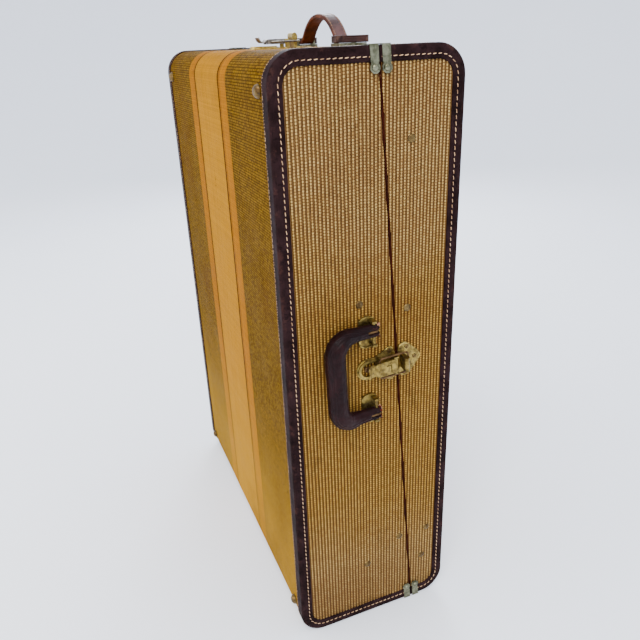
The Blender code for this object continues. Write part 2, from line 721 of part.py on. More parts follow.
def make_handle_bracket(level, matrix, v):
    """Brass bracket: bow-ended plate with raised rims, two posts and the bar between them."""
    here = matrix @ Matrix.Translation((0, v, 0))
    bow_centre, bow_radius, bow_start, rim = 0.0062, 0.0133, 44.4, 0.0014
    bow = arc((0, bow_centre), bow_radius, bow_start, 180 - bow_start, 8)
    outline = bow + [(-a, -b) for a, b in bow]
    bracket = add_mesh(f"handle_bracket_{level}", plate(here, outline), "brass")
    inner = arc((0, bow_centre), bow_radius - rim, 180 - bow_start, bow_start, 8)
    for label, sign in (("a", 1), ("b", -1)):
        ridge = [(sign * a, sign * b) for a, b in bow + inner]
        solid = extrude_outline(ridge, here, GAP + 0.0007, 0.0034)
        combine(bracket, add_cutter(f"add_{level}_rim_{label}", solid), "UNION")
        low, high = sorted((sign * 0.0130, sign * 0.0155))
        reach, top = 0.0029, HANDLE_AXIS_HEIGHT + 0.0029
        foot = (HANDLE_AXIS_U - reach, low, GAP + 0.0007)
        post = box(here, foot, (HANDLE_AXIS_U + reach, high, top))
        combine(bracket, add_cutter(f"add_{level}_post_{label}", post), "UNION")
    bar = bar_across(here, HANDLE_AXIS_U, 0, HANDLE_AXIS_HEIGHT, 0.0145, HANDLE_BAR_RADIUS)
    combine(bracket, add_cutter(f"add_{level}_bar", bar), "UNION")


# ------------------------------------------------------------ strap on the lid's top
def bezier(corners, steps):
    """Points along a cubic Bezier curve in the plane."""
    points = []
    for i in range(steps + 1):
        t = i / steps
        weights = ((1 - t) ** 3, 3 * t * (1 - t) ** 2, 3 * t * t * (1 - t), t**3)
        points.append(tuple(sum(w * c[k] for w, c in zip(weights, corners)) for k in (0, 1)))
    return points


def make_strap():
    """Arched leather strap with thick T-shaped ends held by two metal bridges."""
    floor = TOP_Z + GAP + STRAP_BASE_THICKNESS + GAP
    middle = floor + STRAP_THICKNESS / 2
    half_width, half_thick = STRAP_WIDTH / 2, STRAP_THICKNESS / 2
    tab_half, tab_shoulder, tab_thick = 0.0213, 0.0185, 0.008
    tab_start, tab_end, chamfer = STRAP_HALF_SPAN + 0.0095, STRAP_HALF_SPAN + 0.0285, 0.0020
    span = STRAP_HALF_SPAN
    corners = ((span, 0.0), (0.81 * span, 0.0), (0.69 * span, STRAP_RISE), (0.0, STRAP_RISE))
    path = bezier(corners, 12)
    full = [(-x, rise) for x, rise in path] + list(reversed(path))[1:]
    centres = [Vector((x, STRAP_Y, middle + rise)) for x, rise in full]
    last = len(centres) - 1
    stations = []
    for index, centre in enumerate(centres):
        along = (centres[min(index + 1, last)] - centres[max(index - 1, 0)]).normalized()
        if index in (0, last):
            along = X_AXIS
        normal = along.cross(Y_AXIS)
        stations.append((centre, Y_AXIS * half_width, normal * half_thick))
    tab_profile = [(tab_start, tab_shoulder), (tab_start + chamfer, tab_half)]
    tab_profile += [(tab_end - chamfer, tab_half), (tab_end, tab_shoulder)]
    ends = {}
    for sign in (-1, 1):
        neck = Vector((sign * (tab_start - 0.0007), STRAP_Y, middle))
        ends[sign] = [(neck, Y_AXIS * half_width, Z_AXIS * half_thick)]
        for x, width in tab_profile:
            centre = Vector((sign * x, STRAP_Y, floor + tab_thick / 2))
            ends[sign].append((centre, Y_AXIS * width, Z_AXIS * (tab_thick / 2)))
    whole = list(reversed(ends[-1])) + stations + ends[1]
    add_mesh("top_strap", ribbon(whole), "strap_leather")
    for label, sign in (("near", 1), ("far", -1)):
        make_strap_bridge(label, sign)


def make_strap_bridge(label, sign):
    """Metal foot plate under the strap's end, with a bridge over the strap's neck."""
    foot_half_width, foot_corner, bridge_wall = 0.0180, 0.0040, 0.0014
    inner = STRAP_WIDTH / 2 + 0.0006
    outer = inner + 0.0040
    foot_top = STRAP_BASE_THICKNESS
    clear = foot_top + GAP + STRAP_THICKNESS + 0.0007
    top = clear + bridge_wall
    foot_start, foot_end = STRAP_HALF_SPAN - 0.0005, STRAP_HALF_SPAN + 0.0305
    x_middle, x_half = (foot_start + foot_end) / 2, (foot_end - foot_start) / 2
    outline = []
    for a, b, start in ((1, 1, 0), (-1, 1, 90), (-1, -1, 180), (1, -1, 270)):
        centre = (
            sign * x_middle + a * (x_half - foot_corner),
            STRAP_Y + b * (foot_half_width - foot_corner),
        )
        outline += arc(centre, foot_corner, start, start + 90, 4)
    foot_frame = Matrix.Translation((0, 0, TOP_Z))
    foot = extrude_outline(outline, foot_frame, GAP, GAP + foot_top)
    bridge = add_mesh(f"strap_bridge_{label}", foot, "nickel")
    low = foot_top - 0.0010
    shoulder = [(outer, low), (outer, top - 0.0025), (outer - 0.0008, top - 0.0008)]
    shoulder += [(outer - 0.0025, top)]
    hoop = shoulder + [(-y, z) for y, z in reversed(shoulder)]
    hoop += [(-inner, low), (-inner, clear), (inner, clear), (inner, low)]
    placed = [(STRAP_Y + y, TOP_Z + GAP + z) for y, z in hoop]
    span = sorted((sign * (STRAP_HALF_SPAN + 0.0008), sign * (STRAP_HALF_SPAN + 0.0078)))
    combine(bridge, add_cutter(f"add_{label}_hoop", case_prism(placed, *span)), "UNION")


# ------------------------------------------------------------ hinges on the far panel
def rolled_leaf(side, matrix):
    """Hinge leaf: a flat plate whose edge is rolled round the pin."""
    thick = 0.0006
    roll = 0.0024
    flat_x = HINGE_AXIS_OUT + COVER_INSET - GAP - thick
    path = [(flat_x, side * 0.0220), (flat_x, side * 0.0045), (flat_x - 0.0012, side * 0.0026)]
    path += [(x, side * y) for x, y in arc((0, 0), roll, 45, -215, 12)]
    half = Z_AXIS * (HINGE_LENGTH / 2)
    stations = []
    for index, (x, y) in enumerate(path):
        before = Vector((*path[max(index - 1, 0)], 0))
        after = Vector((*path[min(index + 1, len(path) - 1)], 0))
        normal = (after - before).normalized().cross(Z_AXIS)
        stations.append((Vector((x, y, 0)), half, normal * thick))
    bm = ribbon(stations)
    bmesh.ops.transform(bm, matrix=matrix, verts=bm.verts)
    return bm


def make_hinges():
    for level, z in HINGE_HEIGHTS.items():
        centre = seam_point(HINGE_X, z)
        matrix = local_frame(centre, X_AXIS, SEAM_OUT, SEAM_UP)
        sixth = HINGE_LENGTH / 6
        middle = box(matrix, (-0.006, -0.006, -sixth - GAP), (0.0034, 0.006, sixth + GAP))
        leaf = add_mesh(f"hinge_body_leaf_{level}", rolled_leaf(-1, matrix), "brass", centre)
        combine(leaf, add_cutter(f"cut_{level}_middle", middle))
        leaf = add_mesh(f"hinge_lid_leaf_{level}", rolled_leaf(1, matrix), "brass", centre)
        for label, sign in (("a", 1), ("b", -1)):
            low, high = sorted((sign * (sixth - GAP), sign * HINGE_LENGTH))
            outside = box(matrix, (-0.006, -0.006, low), (0.0034, 0.006, high))
            combine(leaf, add_cutter(f"cut_{level}_end_{label}", outside))
        reach = SEAM_UP * (HINGE_LENGTH / 2 + 0.0005)
        pin = cylinder_along(centre - reach, centre + reach, 0.0014, 12)
        add_mesh(f"hinge_pin_{level}", pin, "steel", centre, smooth=True)


# ------------------------------------------------------------ folding lid stays
def stay_points():
    """Closed-lid places of the two studs and the knee, in (u, v) from the hinge axis."""
    body = Vector((STAY_FROM_AXIS, STAY_BODY_STUD))
    lid = Vector((STAY_FROM_AXIS, STAY_LID_STUD))
    half_span = (STAY_LID_STUD - STAY_BODY_STUD) / 2
    reach = math.sqrt(STAY_LENGTH**2 - half_span**2)
    return body, lid, (body + lid) / 2 + Vector((reach, 0))


def stay_arm(matrix, start, end, low, high):
    """Flat bar with round ends between two local points."""
    along = end - start
    heading = math.degrees(math.atan2(along.y, along.x))
    outline = arc(start, STAY_BAR_HALF_WIDTH, heading + 90, heading + 270, 8)
    outline += arc(end, STAY_BAR_HALF_WIDTH, heading - 90, heading + 90, 8)
    return extrude_outline(outline, matrix, low, high)


def make_stay(level, z, down):
    """Two-bar folding stay; local n points from the case end into the case."""
    matrix = local_frame(seam_point(HINGE_X, z), X_AXIS, SEAM_OUT, SEAM_UP * down)
    body, lid, knee = stay_points()
    bar = STAY_BAR_THICKNESS
    body_low = bar + GAP
    body_high = body_low + bar
    body_frame = matrix @ Matrix.Translation((*body, 0))
    knee_frame = matrix @ Matrix.Translation((*knee, 0))
    lid_frame = matrix @ Matrix.Translation((*lid, 0))

    solid = stay_arm(matrix, body, knee, body_low, body_high)
    arm = add_mesh(f"stay_body_arm_{level}", solid, "steel", body_frame.translation)
    head, shank, head_drop, sunk = 0.0036, 0.0020, 0.0015, body_low + 0.001
    rivet = [(0, -head_drop), (head, -head_drop), (head, -GAP), (shank, -GAP), (shank, sunk), (0, sunk)]
    combine(arm, add_cutter(f"add_{level}_knee", turned(knee_frame, rivet, 12)), "UNION")
    combine(arm, add_cutter(f"cut_{level}_body_eye", turned(body_frame, eye_profile(0.0026), 12)))

    solid = stay_arm(matrix, lid, knee, 0.0, bar)
    arm = add_mesh(f"stay_lid_arm_{level}", solid, "steel", knee_frame.translation)
    combine(arm, add_cutter(f"cut_{level}_knee_eye", turned(knee_frame, eye_profile(0.0024), 12)))

    wall = LINED_INSET - STAY_LEVEL + 0.0009
    slope = down * math.sin(SEAM_ANGLE)
    body_wall = wall - slope * STAY_BODY_STUD
    lid_wall = wall - slope * STAY_LID_STUD
    flange, post, neck, cap = 0.006, 0.003, 0.0022, 0.0045
    flange_top, cap_top = body_wall + 0.0015, body_high + 0.0016
    stud = [(0, body_wall), (flange, body_wall), (flange, flange_top), (post, flange_top)]
    stud += [(post, body_low - GAP), (neck, body_low - GAP), (neck, body_high + GAP)]
    stud += [(cap, body_high + GAP), (0.8 * cap, cap_top), (0, cap_top)]
    add_mesh(f"stay_body_stud_{level}", turned(body_frame, stud, 14), "steel", smooth=True)
    lid_post = 0.0035
    stud = [(0, lid_wall), (lid_post, lid_wall), (lid_post, -GAP), (0, -GAP)]
    add_mesh(f"stay_lid_stud_{level}", turned(lid_frame, stud, 14), "steel", smooth=True)


def eye_profile(radius):
    """Turned profile of a hole through one or both bars of a stay."""
    low, high = -0.004, 0.008
    return [(0, low), (radius, low), (radius, high), (0, high)]


def make_stays():
    make_stay("upper", HEIGHT - STAY_LEVEL, -1)
    make_stay("lower", STAY_LEVEL, 1)


# ------------------------------------------------------------ fittings inside
def make_hanger_rod():
    """Garment rod across the deep end of the lid, in two screwed-on sockets."""
    wall = WIDTH / 2 - LINED_INSET - GAP
    y, z = ROD_YZ
    rod_radius, cup, cup_depth = 0.0060, 0.0090, 0.0100
    flange, flange_edge, flange_rise = 0.014, 0.0015, 0.0030
    socket = [(0, 0), (flange, 0), (flange, flange_edge), (cup, flange_rise), (cup, cup_depth)]
    hole = rod_radius + 0.0004
    socket += [(hole, cup_depth), (hole, flange_rise), (0, flange_rise)]
    for end, sign in (("near", 1), ("far", -1)):
        matrix = local_frame(Vector((sign * wall, y, z)), Y_AXIS, Z_AXIS * -sign, -X_AXIS * sign)
        add_mesh(f"rod_socket_{end}", turned(matrix, socket, 20), "nickel", smooth=True)
    reach = wall - flange_rise - GAP
    rod = cylinder_along(Vector((-reach, y, z)), Vector((reach, y, z)), rod_radius, 20)
    add_mesh("hanger_rod", rod, "beech", smooth=True)


def make_garment_straps():
    """Flat webbing straps that hold packed clothes down in the body."""
    wall = WIDTH / 2 - LINED_INSET - GAP
    half_width, half_thick = Z_AXIS * 0.0125, Y_AXIS * 0.0008
    behind_seam, slack, steps = 0.012, 0.006, 16
    for level, (y, z) in GARMENT_STRAP_YZ.items():
        stations = []
        for i in range(steps + 1):
            x = -wall + 2 * wall * i / steps
            sag = slack * (1 - (x / wall) ** 2)
            stations.append((Vector((x, y - behind_seam - sag, z)), half_width, half_thick))
        add_mesh(f"garment_strap_{level}", ribbon(stations), "webbing")


clear_scene()
ROOT = bpy.data.objects.new("suitcase", None)
bpy.context.scene.collection.objects.link(ROOT)
ROOT.location = (*CASE_CENTRE, 0)
make_trays()
make_lip()
make_bindings()
make_feet()
make_clips()
make_latches()
make_handle()
make_strap()
make_hinges()
make_stays()
make_hanger_rod()
make_garment_straps()
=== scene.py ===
"""Looks of the wardrobe suitcase: fabric, leather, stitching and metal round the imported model."""

import functools
import json
import math

import bmesh
import bpy
from mathutils import Matrix, Vector, noise


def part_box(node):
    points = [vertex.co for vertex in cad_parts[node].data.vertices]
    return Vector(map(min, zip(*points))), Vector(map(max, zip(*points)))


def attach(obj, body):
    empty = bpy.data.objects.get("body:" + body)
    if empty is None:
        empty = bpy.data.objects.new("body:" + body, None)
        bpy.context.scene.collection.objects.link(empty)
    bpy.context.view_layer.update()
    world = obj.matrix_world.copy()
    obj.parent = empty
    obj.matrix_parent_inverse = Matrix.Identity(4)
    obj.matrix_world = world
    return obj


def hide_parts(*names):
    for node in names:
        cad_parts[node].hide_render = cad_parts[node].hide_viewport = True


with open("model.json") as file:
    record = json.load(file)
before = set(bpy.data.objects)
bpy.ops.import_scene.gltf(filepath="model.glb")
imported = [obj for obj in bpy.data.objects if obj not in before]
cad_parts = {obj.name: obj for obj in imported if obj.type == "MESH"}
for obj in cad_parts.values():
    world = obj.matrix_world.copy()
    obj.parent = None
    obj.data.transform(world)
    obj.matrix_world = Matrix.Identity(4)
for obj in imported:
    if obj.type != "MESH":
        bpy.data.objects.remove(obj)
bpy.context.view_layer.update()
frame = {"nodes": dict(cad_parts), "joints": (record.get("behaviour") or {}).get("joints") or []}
NODES = frame["nodes"]
JOINTS = {joint["name"]: joint for joint in frame["joints"]}


def corners(node):
    """Lowest and highest corner of a CAD node as vectors."""
    low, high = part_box(node)
    return Vector(low), Vector(high)


# ---- measures of the case
BODY_NEAR_LOW, BODY_NEAR_HIGH = corners("body_binding_near")
BODY_FAR_LOW, _ = corners("body_binding_far")
LID_NEAR_LOW, LID_NEAR_HIGH = corners("lid_binding_near")
_, COVER_HIGH = corners("body_cover")
HEIGHT = BODY_NEAR_HIGH.z
FRONT_Y, BACK_Y = BODY_NEAR_LOW.y, LID_NEAR_HIGH.y
HALF_DEPTH = (BACK_Y - FRONT_Y) / 2
HALF_WIDTH = (BODY_NEAR_HIGH.x - BODY_FAR_LOW.x) / 2
CENTRE = Vector(((BODY_NEAR_HIGH.x + BODY_FAR_LOW.x) / 2, (FRONT_Y + BACK_Y) / 2, 0))
COVER_INSET = BODY_NEAR_HIGH.x - COVER_HIGH.x
BINDING_ON_FACE = BODY_NEAR_HIGH.x - BODY_NEAR_LOW.x
BINDING_ON_PANEL = 0.015
CORNER_RADIUS = 0.032
SEAM_GAP = 0.0004
FABRIC_SETBACK = 0.0016
SEAM_BOTTOM_Y = BODY_NEAR_HIGH.y + SEAM_GAP
SEAM_TOP_Y = LID_NEAR_LOW.y - SEAM_GAP
PANEL_X = HALF_WIDTH - COVER_INSET
X_AXIS, Y_AXIS, Z_AXIS = Vector((1, 0, 0)), Vector((0, 1, 0)), Vector((0, 0, 1))
HALVES = {"body": ("case_body", -1), "lid": ("lid", 1)}
ENDS = {"near": 1, "far": -1}


def seam_y(z):
    """Depth position of the seam line at height z."""
    return SEAM_BOTTOM_Y + (SEAM_TOP_Y - SEAM_BOTTOM_Y) * z / HEIGHT


# ---- shader helper
class Shader:
    """Wires a node material by calls that each return an output socket."""

    def __init__(self, name, roughness=0.5, metallic=0.0, **constants):
        self.material = bpy.data.materials.new(name)
        self.material.use_nodes = True
        self.tree = self.material.node_tree
        self.surface = self.tree.nodes["Principled BSDF"]
        self.set("Roughness", roughness)
        self.set("Metallic", metallic)
        for key, value in constants.items():
            self.set(key.replace("_", " "), value)

    def finish(self, base, normal, roughness=None):
        """Feeds the surface and hands over the material."""
        self.set("Base Color", base)
        self.set("Roughness", roughness)
        self.set("Normal", normal)
        return self.material

    def put(self, socket, value):
        if isinstance(value, bpy.types.NodeSocket):
            self.tree.links.new(value, socket)
        elif value is not None:
            socket.default_value = value

    def set(self, socket, value):
        self.put(self.surface.inputs[socket], value)

    def node(self, kind, inputs, output=0, **settings):
        """New node fed by {input: value}; returns one of its outputs."""
        made = self.tree.nodes.new(kind)
        for key, value in settings.items():
            setattr(made, key, value)
        for key, value in inputs.items():
            self.put(made.inputs[key], value)
        return made.outputs[output]

    def math(self, operation, *values, clamp=False):
        return self.node("ShaderNodeMath", dict(enumerate(values)), operation=operation, use_clamp=clamp)

    def mix(self, share, a, b, blend="MIX"):
        inputs = {0: share, 6: colour(a), 7: colour(b)}
        return self.node("ShaderNodeMix", inputs, 2, data_type="RGBA", blend_type=blend)

    def step(self, value, low, high):
        """0 below low, 1 above high, smooth between; falls when low is above high."""
        start, end = (0.0, 1.0) if low < high else (1.0, 0.0)
        inputs = {0: value, 1: min(low, high), 2: max(low, high), 3: start, 4: end}
        return self.node("ShaderNodeMapRange", inputs, interpolation_type="SMOOTHSTEP")

    def scaled(self, value, low, high):
        """Maps 0..1 to low..high."""
        return self.math("MULTIPLY_ADD", value, high - low, low)

    def place(self):
        return self.node("ShaderNodeTexCoord", {}, "Object")

    def hump(self, value):
        """0 at whole numbers, 1 half-way between them."""
        return self.math("ABSOLUTE", self.math("SINE", self.math("MULTIPLY", value, math.pi)))

    def patches(self, base, tone, share, low, high, *noise_values):
        """base with this share of tone where a noise passes from low to high."""
        spots = self.step(self.noise(self.place(), *noise_values), low, high)
        return self.mix(self.math("MULTIPLY", spots, share), base, tone)

    def attribute(self, name, output):
        return self.node("ShaderNodeAttribute", {}, output, attribute_name=name)

    def axes(self, vector):
        made = self.tree.nodes.new("ShaderNodeSeparateXYZ")
        self.put(made.inputs[0], vector)
        return made.outputs

    def join(self, x, y, z=0.0):
        return self.node("ShaderNodeCombineXYZ", {0: x, 1: y, 2: z})

    def noise(self, vector, scale, detail=3.0, roughness=0.55, distortion=0.0):
        inputs = {"Vector": vector, "Scale": scale, "Detail": detail, "Roughness": roughness}
        return self.node("ShaderNodeTexNoise", {**inputs, "Distortion": distortion})

    def cells(self, vector, scale):
        return self.node("ShaderNodeTexVoronoi", {"Vector": vector, "Scale": scale}, "Distance")

    def random(self, value):
        """White noise of a whole number: one value for each thread."""
        return self.node("ShaderNodeTexWhiteNoise", {"W": value}, "Value", noise_dimensions="1D")

    def stretch(self, vector, factors):
        """The vector times one factor for each axis."""
        return self.node("ShaderNodeVectorMath", {0: vector, 1: factors}, operation="MULTIPLY")

    def bump(self, height, distance, strength=1.0, normal=None):
        inputs = {"Height": height, "Distance": distance, "Strength": strength, "Normal": normal}
        return self.node("ShaderNodeBump", inputs)


SHORT_NAMES = {"times": "MULTIPLY", "plus": "ADD", "minus": "SUBTRACT", "over": "DIVIDE",
               "size": "ABSOLUTE", "floor": "FLOOR", "sine": "SINE", "power": "POWER",
               "times_plus": "MULTIPLY_ADD"}
for short_name, operation_name in SHORT_NAMES.items():
    setattr(Shader, short_name, functools.partialmethod(Shader.math, operation_name))


def colour(value):
    """An sRGB triple (0..255) as a linear colour; sockets pass through."""
    if not isinstance(value, tuple):
        return value
    linear = []
    for part in value:
        share = part / 255
        linear.append(share / 12.92 if share <= 0.04045 else ((share + 0.055) / 1.055) ** 2.4)
    return (*linear, 1.0)


# ---- fabric materials
THREAD = 0.0010
FACE_VARNISH = (212, 194, 78)
GRID_PITCH = 0.0030
CORD_PITCH, BEAD_PITCH = 0.0042, 0.0031
LINING_STRIPE = 0.024
TAN_HALF, DARK_HALF, THIN_LINE_AT, YELLOW_HALF = 0.0585, 0.0641, 0.0672, 0.0950
# PANEL_PALE_TONE is the pale grey of the end panels' painted reflection
PANEL_VARNISH, PANEL_PALE_TONE = (186, 172, 132), (196, 190, 184)


def weave(s, across, along, pitch):
    """Plain weave: returns (height, warp thread number, weft thread number)."""
    u, v = s.over(across, pitch), s.over(along, pitch)
    warp, weft = s.floor(u), s.floor(v)
    warp_on_top = s.math("FLOORED_MODULO", s.plus(warp, weft), 2.0)
    round_u = s.times(s.power(s.hump(u), 0.6), s.hump(v))
    round_v = s.times(s.power(s.hump(v), 0.6), s.hump(u))
    height = s.node("ShaderNodeMix", {0: warp_on_top, 2: round_u, 3: round_v}, data_type="FLOAT")
    return height, warp, weft


def cell_edge(s, value, pitch):
    """1 on the lines between equal cells of a grid, 0 inside them."""
    share = s.math("FRACT", s.over(value, pitch))
    return s.step(s.size(s.minus(share, 0.5)), 0.25, 0.39)


def striped_tweed():
    """Lacquered tweed of the faces: stripes run up the case, symmetric about its middle."""
    s = Shader("striped_tweed", roughness=0.62, Specular_IOR_Level=0.008)
    across, along, _ = s.axes(s.attribute("cloth", "Vector"))
    position = s.place()
    wander = s.noise(position, 9.0, 2.0)
    side = s.plus(s.size(across), s.times_plus(wander, 0.003, -0.0015))
    height, warp, weft = weave(s, across, along, THREAD)
    column, row = cell_edge(s, across, GRID_PITCH), cell_edge(s, along, GRID_PITCH)
    lines = s.math("MAXIMUM", column, row)
    cell_across, cell_along = s.floor(s.over(across, GRID_PITCH)), s.floor(s.over(along, GRID_PITCH))
    square = s.random(s.times_plus(cell_across, 311.0, cell_along))
    olive = s.mix(square, (122, 94, 30), (176, 144, 68))
    olive = s.mix(s.times(lines, 0.9), olive, (58, 40, 10))
    tan = s.mix(s.times(lines, 0.16), (204, 154, 62), (150, 98, 36))
    yellow = s.mix(s.times(lines, 0.24), (190, 132, 34), (112, 70, 14))
    dark = s.mix(s.times(row, 0.5), (84, 48, 16), (52, 28, 10))
    base = s.mix(s.step(side, YELLOW_HALF - 0.0010, YELLOW_HALF + 0.0010), yellow, olive)
    base = s.mix(s.step(side, DARK_HALF - 0.0005, DARK_HALF + 0.0005), dark, base)
    base = s.mix(s.step(side, TAN_HALF - 0.0005, TAN_HALF + 0.0005), tan, base)
    thin_line = s.step(s.size(s.minus(side, THIN_LINE_AT)), 0.0014, 0.0004)
    base = s.mix(s.times(thin_line, 0.5), base, (120, 72, 26))
    streak = s.noise(s.join(s.times(across, 900.0), s.times(along, 30.0)), 1.0, 2.0)
    tone = s.times_plus(s.random(warp), 0.26, s.times(s.random(weft), 0.18))
    tone = s.plus(tone, s.times_plus(streak, 0.45, 0.52))
    base = s.mix(1.0, base, s.join(tone, tone, tone), "MULTIPLY")
    # painted shade: where the weave's height is low, between the threads, the colour is darkened towards
    # (40, 24, 8)
    base = s.mix(s.times(s.step(height, 0.45, 0.0), 0.5), base, (40, 24, 8))
    _, _, level = s.axes(position)
    # painted reflection: towards the bottom of the faces the colour is mixed towards a pale tone that
    # stands for the bright ground reflected in the lacquer
    painted_ground_reflection = s.times(s.step(level, 0.34, 0.05), s.scaled(s.noise(position, 7.0, 5.0), 0.2, 0.75))
    base = s.mix(painted_ground_reflection, base, (206, 168, 122))
    base = s.patches(base, (86, 48, 18), 0.35, 0.50, 0.72, 5.0, 5.0, 0.6)
    base = s.patches(base, (40, 26, 18), 0.75, 0.68, 0.73, 60.0, 4.0, 0.7, 1.0)
    varnished = s.mix(1.0, base, FACE_VARNISH, "MULTIPLY")
    polish = s.scaled(s.noise(position, 22.0, 4.0), 0.48, 0.75)
    return s.finish(varnished, s.bump(height, 0.00030, 1.0), polish)


def corded_tweed():
    """Tweed of the end panels: raised beaded cords over a brown ground."""
    s = Shader("corded_tweed", roughness=0.62, Specular_IOR_Level=0.04)
    across, along, _ = s.axes(s.attribute("cloth", "Vector"))
    position = s.place()
    turns = s.over(across, CORD_PITCH)
    cord = s.floor(s.plus(turns, 0.5))
    off = s.size(s.minus(turns, cord))
    on_cord = s.step(off, 0.195, 0.140)
    phase = s.plus(s.random(cord), s.over(along, BEAD_PITCH))
    bead = s.power(s.hump(phase), 0.7)
    number = s.floor(phase)
    bead_tone = s.random(s.times_plus(cord, 517.0, number))
    fine, warp, weft = weave(s, across, along, 0.0007)
    ground = s.mix(s.random(warp), (62, 44, 26), (108, 80, 52))
    ground = s.mix(s.times(s.random(weft), 0.55), ground, (48, 30, 12))
    # painted highlight: the crowns of the fine weave are lightened towards (132, 96, 52)
    ground = s.mix(s.times(s.step(fine, 0.35, 0.9), 0.35), ground, (132, 96, 52))
    midline = s.step(off, 0.40, 0.445)
    ground = s.mix(s.times(midline, 0.55), ground, (150, 110, 62))
    # painted shade: the ground right beside each raised cord is darkened towards (38, 20, 6)
    ground = s.mix(s.times(s.step(off, 0.32, 0.22), 0.75), ground, (38, 20, 6))
    thread = s.mix(bead_tone, (236, 200, 124), (204, 162, 94))
    # painted shade: the dips between the beads are darkened towards (96, 60, 26)
    thread = s.mix(s.times(s.step(bead, 0.80, 0.25), 0.9), thread, (96, 60, 26))
    base = s.mix(on_cord, ground, thread)
    base = s.patches(base, (104, 60, 22), 0.32, 0.44, 0.68, 6.0, 5.0, 0.6)
    base = s.patches(base, (62, 40, 20), 0.30, 0.58, 0.76, 28.0, 4.0, 0.65)
    _, _, level = s.axes(position)
    # painted reflection: far from mid-height the varnish turns pale and grey; at the bottom this stands for
    # the bright ground reflected in the lacquer, and the top gets the same pale tone
    mid_height = s.size(s.minus(s.over(level, HEIGHT), 0.46))
    paleness = s.times_plus(s.noise(position, 5.0, 3.0), 0.3, s.minus(mid_height, 0.15))
    varnish = s.mix(s.step(paleness, 0.14, 0.40), PANEL_VARNISH, PANEL_PALE_TONE)
    polish = s.scaled(s.noise(position, 40.0, 4.0), 0.48, 0.74)
    height = s.times_plus(fine, 0.35, s.times(bead, on_cord))
    return s.finish(s.mix(1.0, base, varnish, "MULTIPLY"), s.bump(height, 0.00045, 1.0), polish)


def lining_cloth():
    """Plain woven lining with a faint stripe across the width."""
    s = Shader("lining_cloth", roughness=0.9, Sheen_Weight=0.25)
    position = s.place()
    x, y, z = s.axes(position)
    wrapped = s.plus(y, z)
    height, warp, weft = weave(s, x, wrapped, 0.0012)
    base = s.mix(s.random(warp), (196, 180, 146), (176, 158, 122))
    base = s.mix(s.times(s.random(weft), 0.4), base, (206, 192, 160))
    stripe = s.hump(s.over(x, LINING_STRIPE))
    base = s.mix(s.times(s.step(stripe, 0.16, 0.08), 0.6), base, (142, 96, 60))
    base = s.patches(base, (150, 120, 78), 0.35, 0.48, 0.75, 7.0, 5.0, 0.6)
    return s.finish(base, s.bump(height, 0.00020, 0.7))


def webbing_cloth():
    """Herringbone cotton webbing of the garment straps."""
    s = Shader("webbing_cloth", roughness=0.85, Sheen_Weight=0.2)
    x, _, z = s.axes(s.place())
    bar = s.math("PINGPONG", s.times(z, 160.0), 1.0)
    slant = s.sine(s.times_plus(x, 3200.0, s.times(bar, 9.0)))
    base = s.mix(s.step(slant, -0.3, 0.5), (96, 74, 48), (148, 122, 84))
    base = s.patches(base, (88, 66, 44), 0.4, 0.5, 0.8, 20.0, 4.0)
    return s.finish(base, s.bump(slant, 0.00020, 0.7))


# ---- leather materials
def leather(name, dark, mid, worn, wear_amount, roughness, grain, gloss):
    """Hide with a pebbled grain, blotches, creases with painted shade in their valleys and worn edges
    (attribute wear).
    """
    s = Shader(name, roughness=roughness, Specular_IOR_Level=gloss)
    position = s.place()
    blotch = s.noise(position, 38.0, 5.0, 0.62)
    base = s.mix(s.step(blotch, 0.36, 0.66), dark, mid)
    pebbles = s.cells(position, grain)
    crease = s.noise(position, 150.0, 5.0, 0.7, 0.6)
    edge = s.attribute("wear", "Fac")
    rubbed = s.times_plus(edge, 0.16, s.noise(position, 75.0, 5.0, 0.68))
    rub = s.times(s.step(rubbed, 0.66, 0.80), wear_amount)
    base = s.mix(rub, base, worn)
    scratches = s.noise(s.stretch(position, (40.0, 260.0, 90.0)), 1.0, 4.0, 0.7)
    base = s.mix(s.times(s.step(scratches, 0.66, 0.72), 0.30 * wear_amount), base, worn)
    # painted shade: the valleys of the creases are darkened towards (10, 6, 6)
    base = s.mix(s.times(s.step(crease, 0.46, 0.36), 0.6), base, (10, 6, 6))
    polish = s.scaled(s.noise(position, 90.0, 4.0), roughness - 0.12, roughness + 0.2)
    first = s.bump(pebbles, 0.00014, 0.5)
    return s.finish(base, s.bump(crease, 0.0005, 0.45, first), polish)


def thread_material(name, light, dark):
    """Waxed sewing thread with a twist."""
    s = Shader(name, roughness=0.7, Sheen_Weight=0.2)
    position = s.place()
    x, y, z = s.axes(position)
    twist = s.sine(s.times(s.plus(s.plus(x, y), z), 9000.0))
    tone = s.step(s.noise(position, 130.0, 3.0), 0.35, 0.7)
    return s.finish(s.mix(tone, light, dark), s.bump(twist, 0.00008, 0.5))


# ---- metal and wood materials
def aged_metal(name, bright, dull, tarnish, amount, roughness):
    """Metal with tarnish blotches, fine scratches and uneven polish."""
    s = Shader(name, roughness=roughness, metallic=1.0)
    position = s.place()
    blotch = s.noise(position, 130.0, 6.0, 0.65)
    base = s.mix(s.step(blotch, 0.38, 0.62), bright, dull)
    spots = s.noise(position, 420.0, 5.0, 0.7, 0.5)
    dirt = s.times(s.step(spots, 0.52, 0.66), amount)
    s.set("Metallic", s.times_plus(dirt, -0.75, 1.0, clamp=True))
    polish = s.times_plus(dirt, 0.35, s.scaled(blotch, roughness - 0.1, roughness + 0.2))
    scratches = s.noise(s.stretch(position, (2600.0, 300.0, 900.0)), 1.0, 3.0, 0.6)
    first = s.bump(scratches, 0.00004, 0.5)
    return s.finish(s.mix(dirt, base, tarnish), s.bump(spots, 0.00012, 0.5, first), polish)


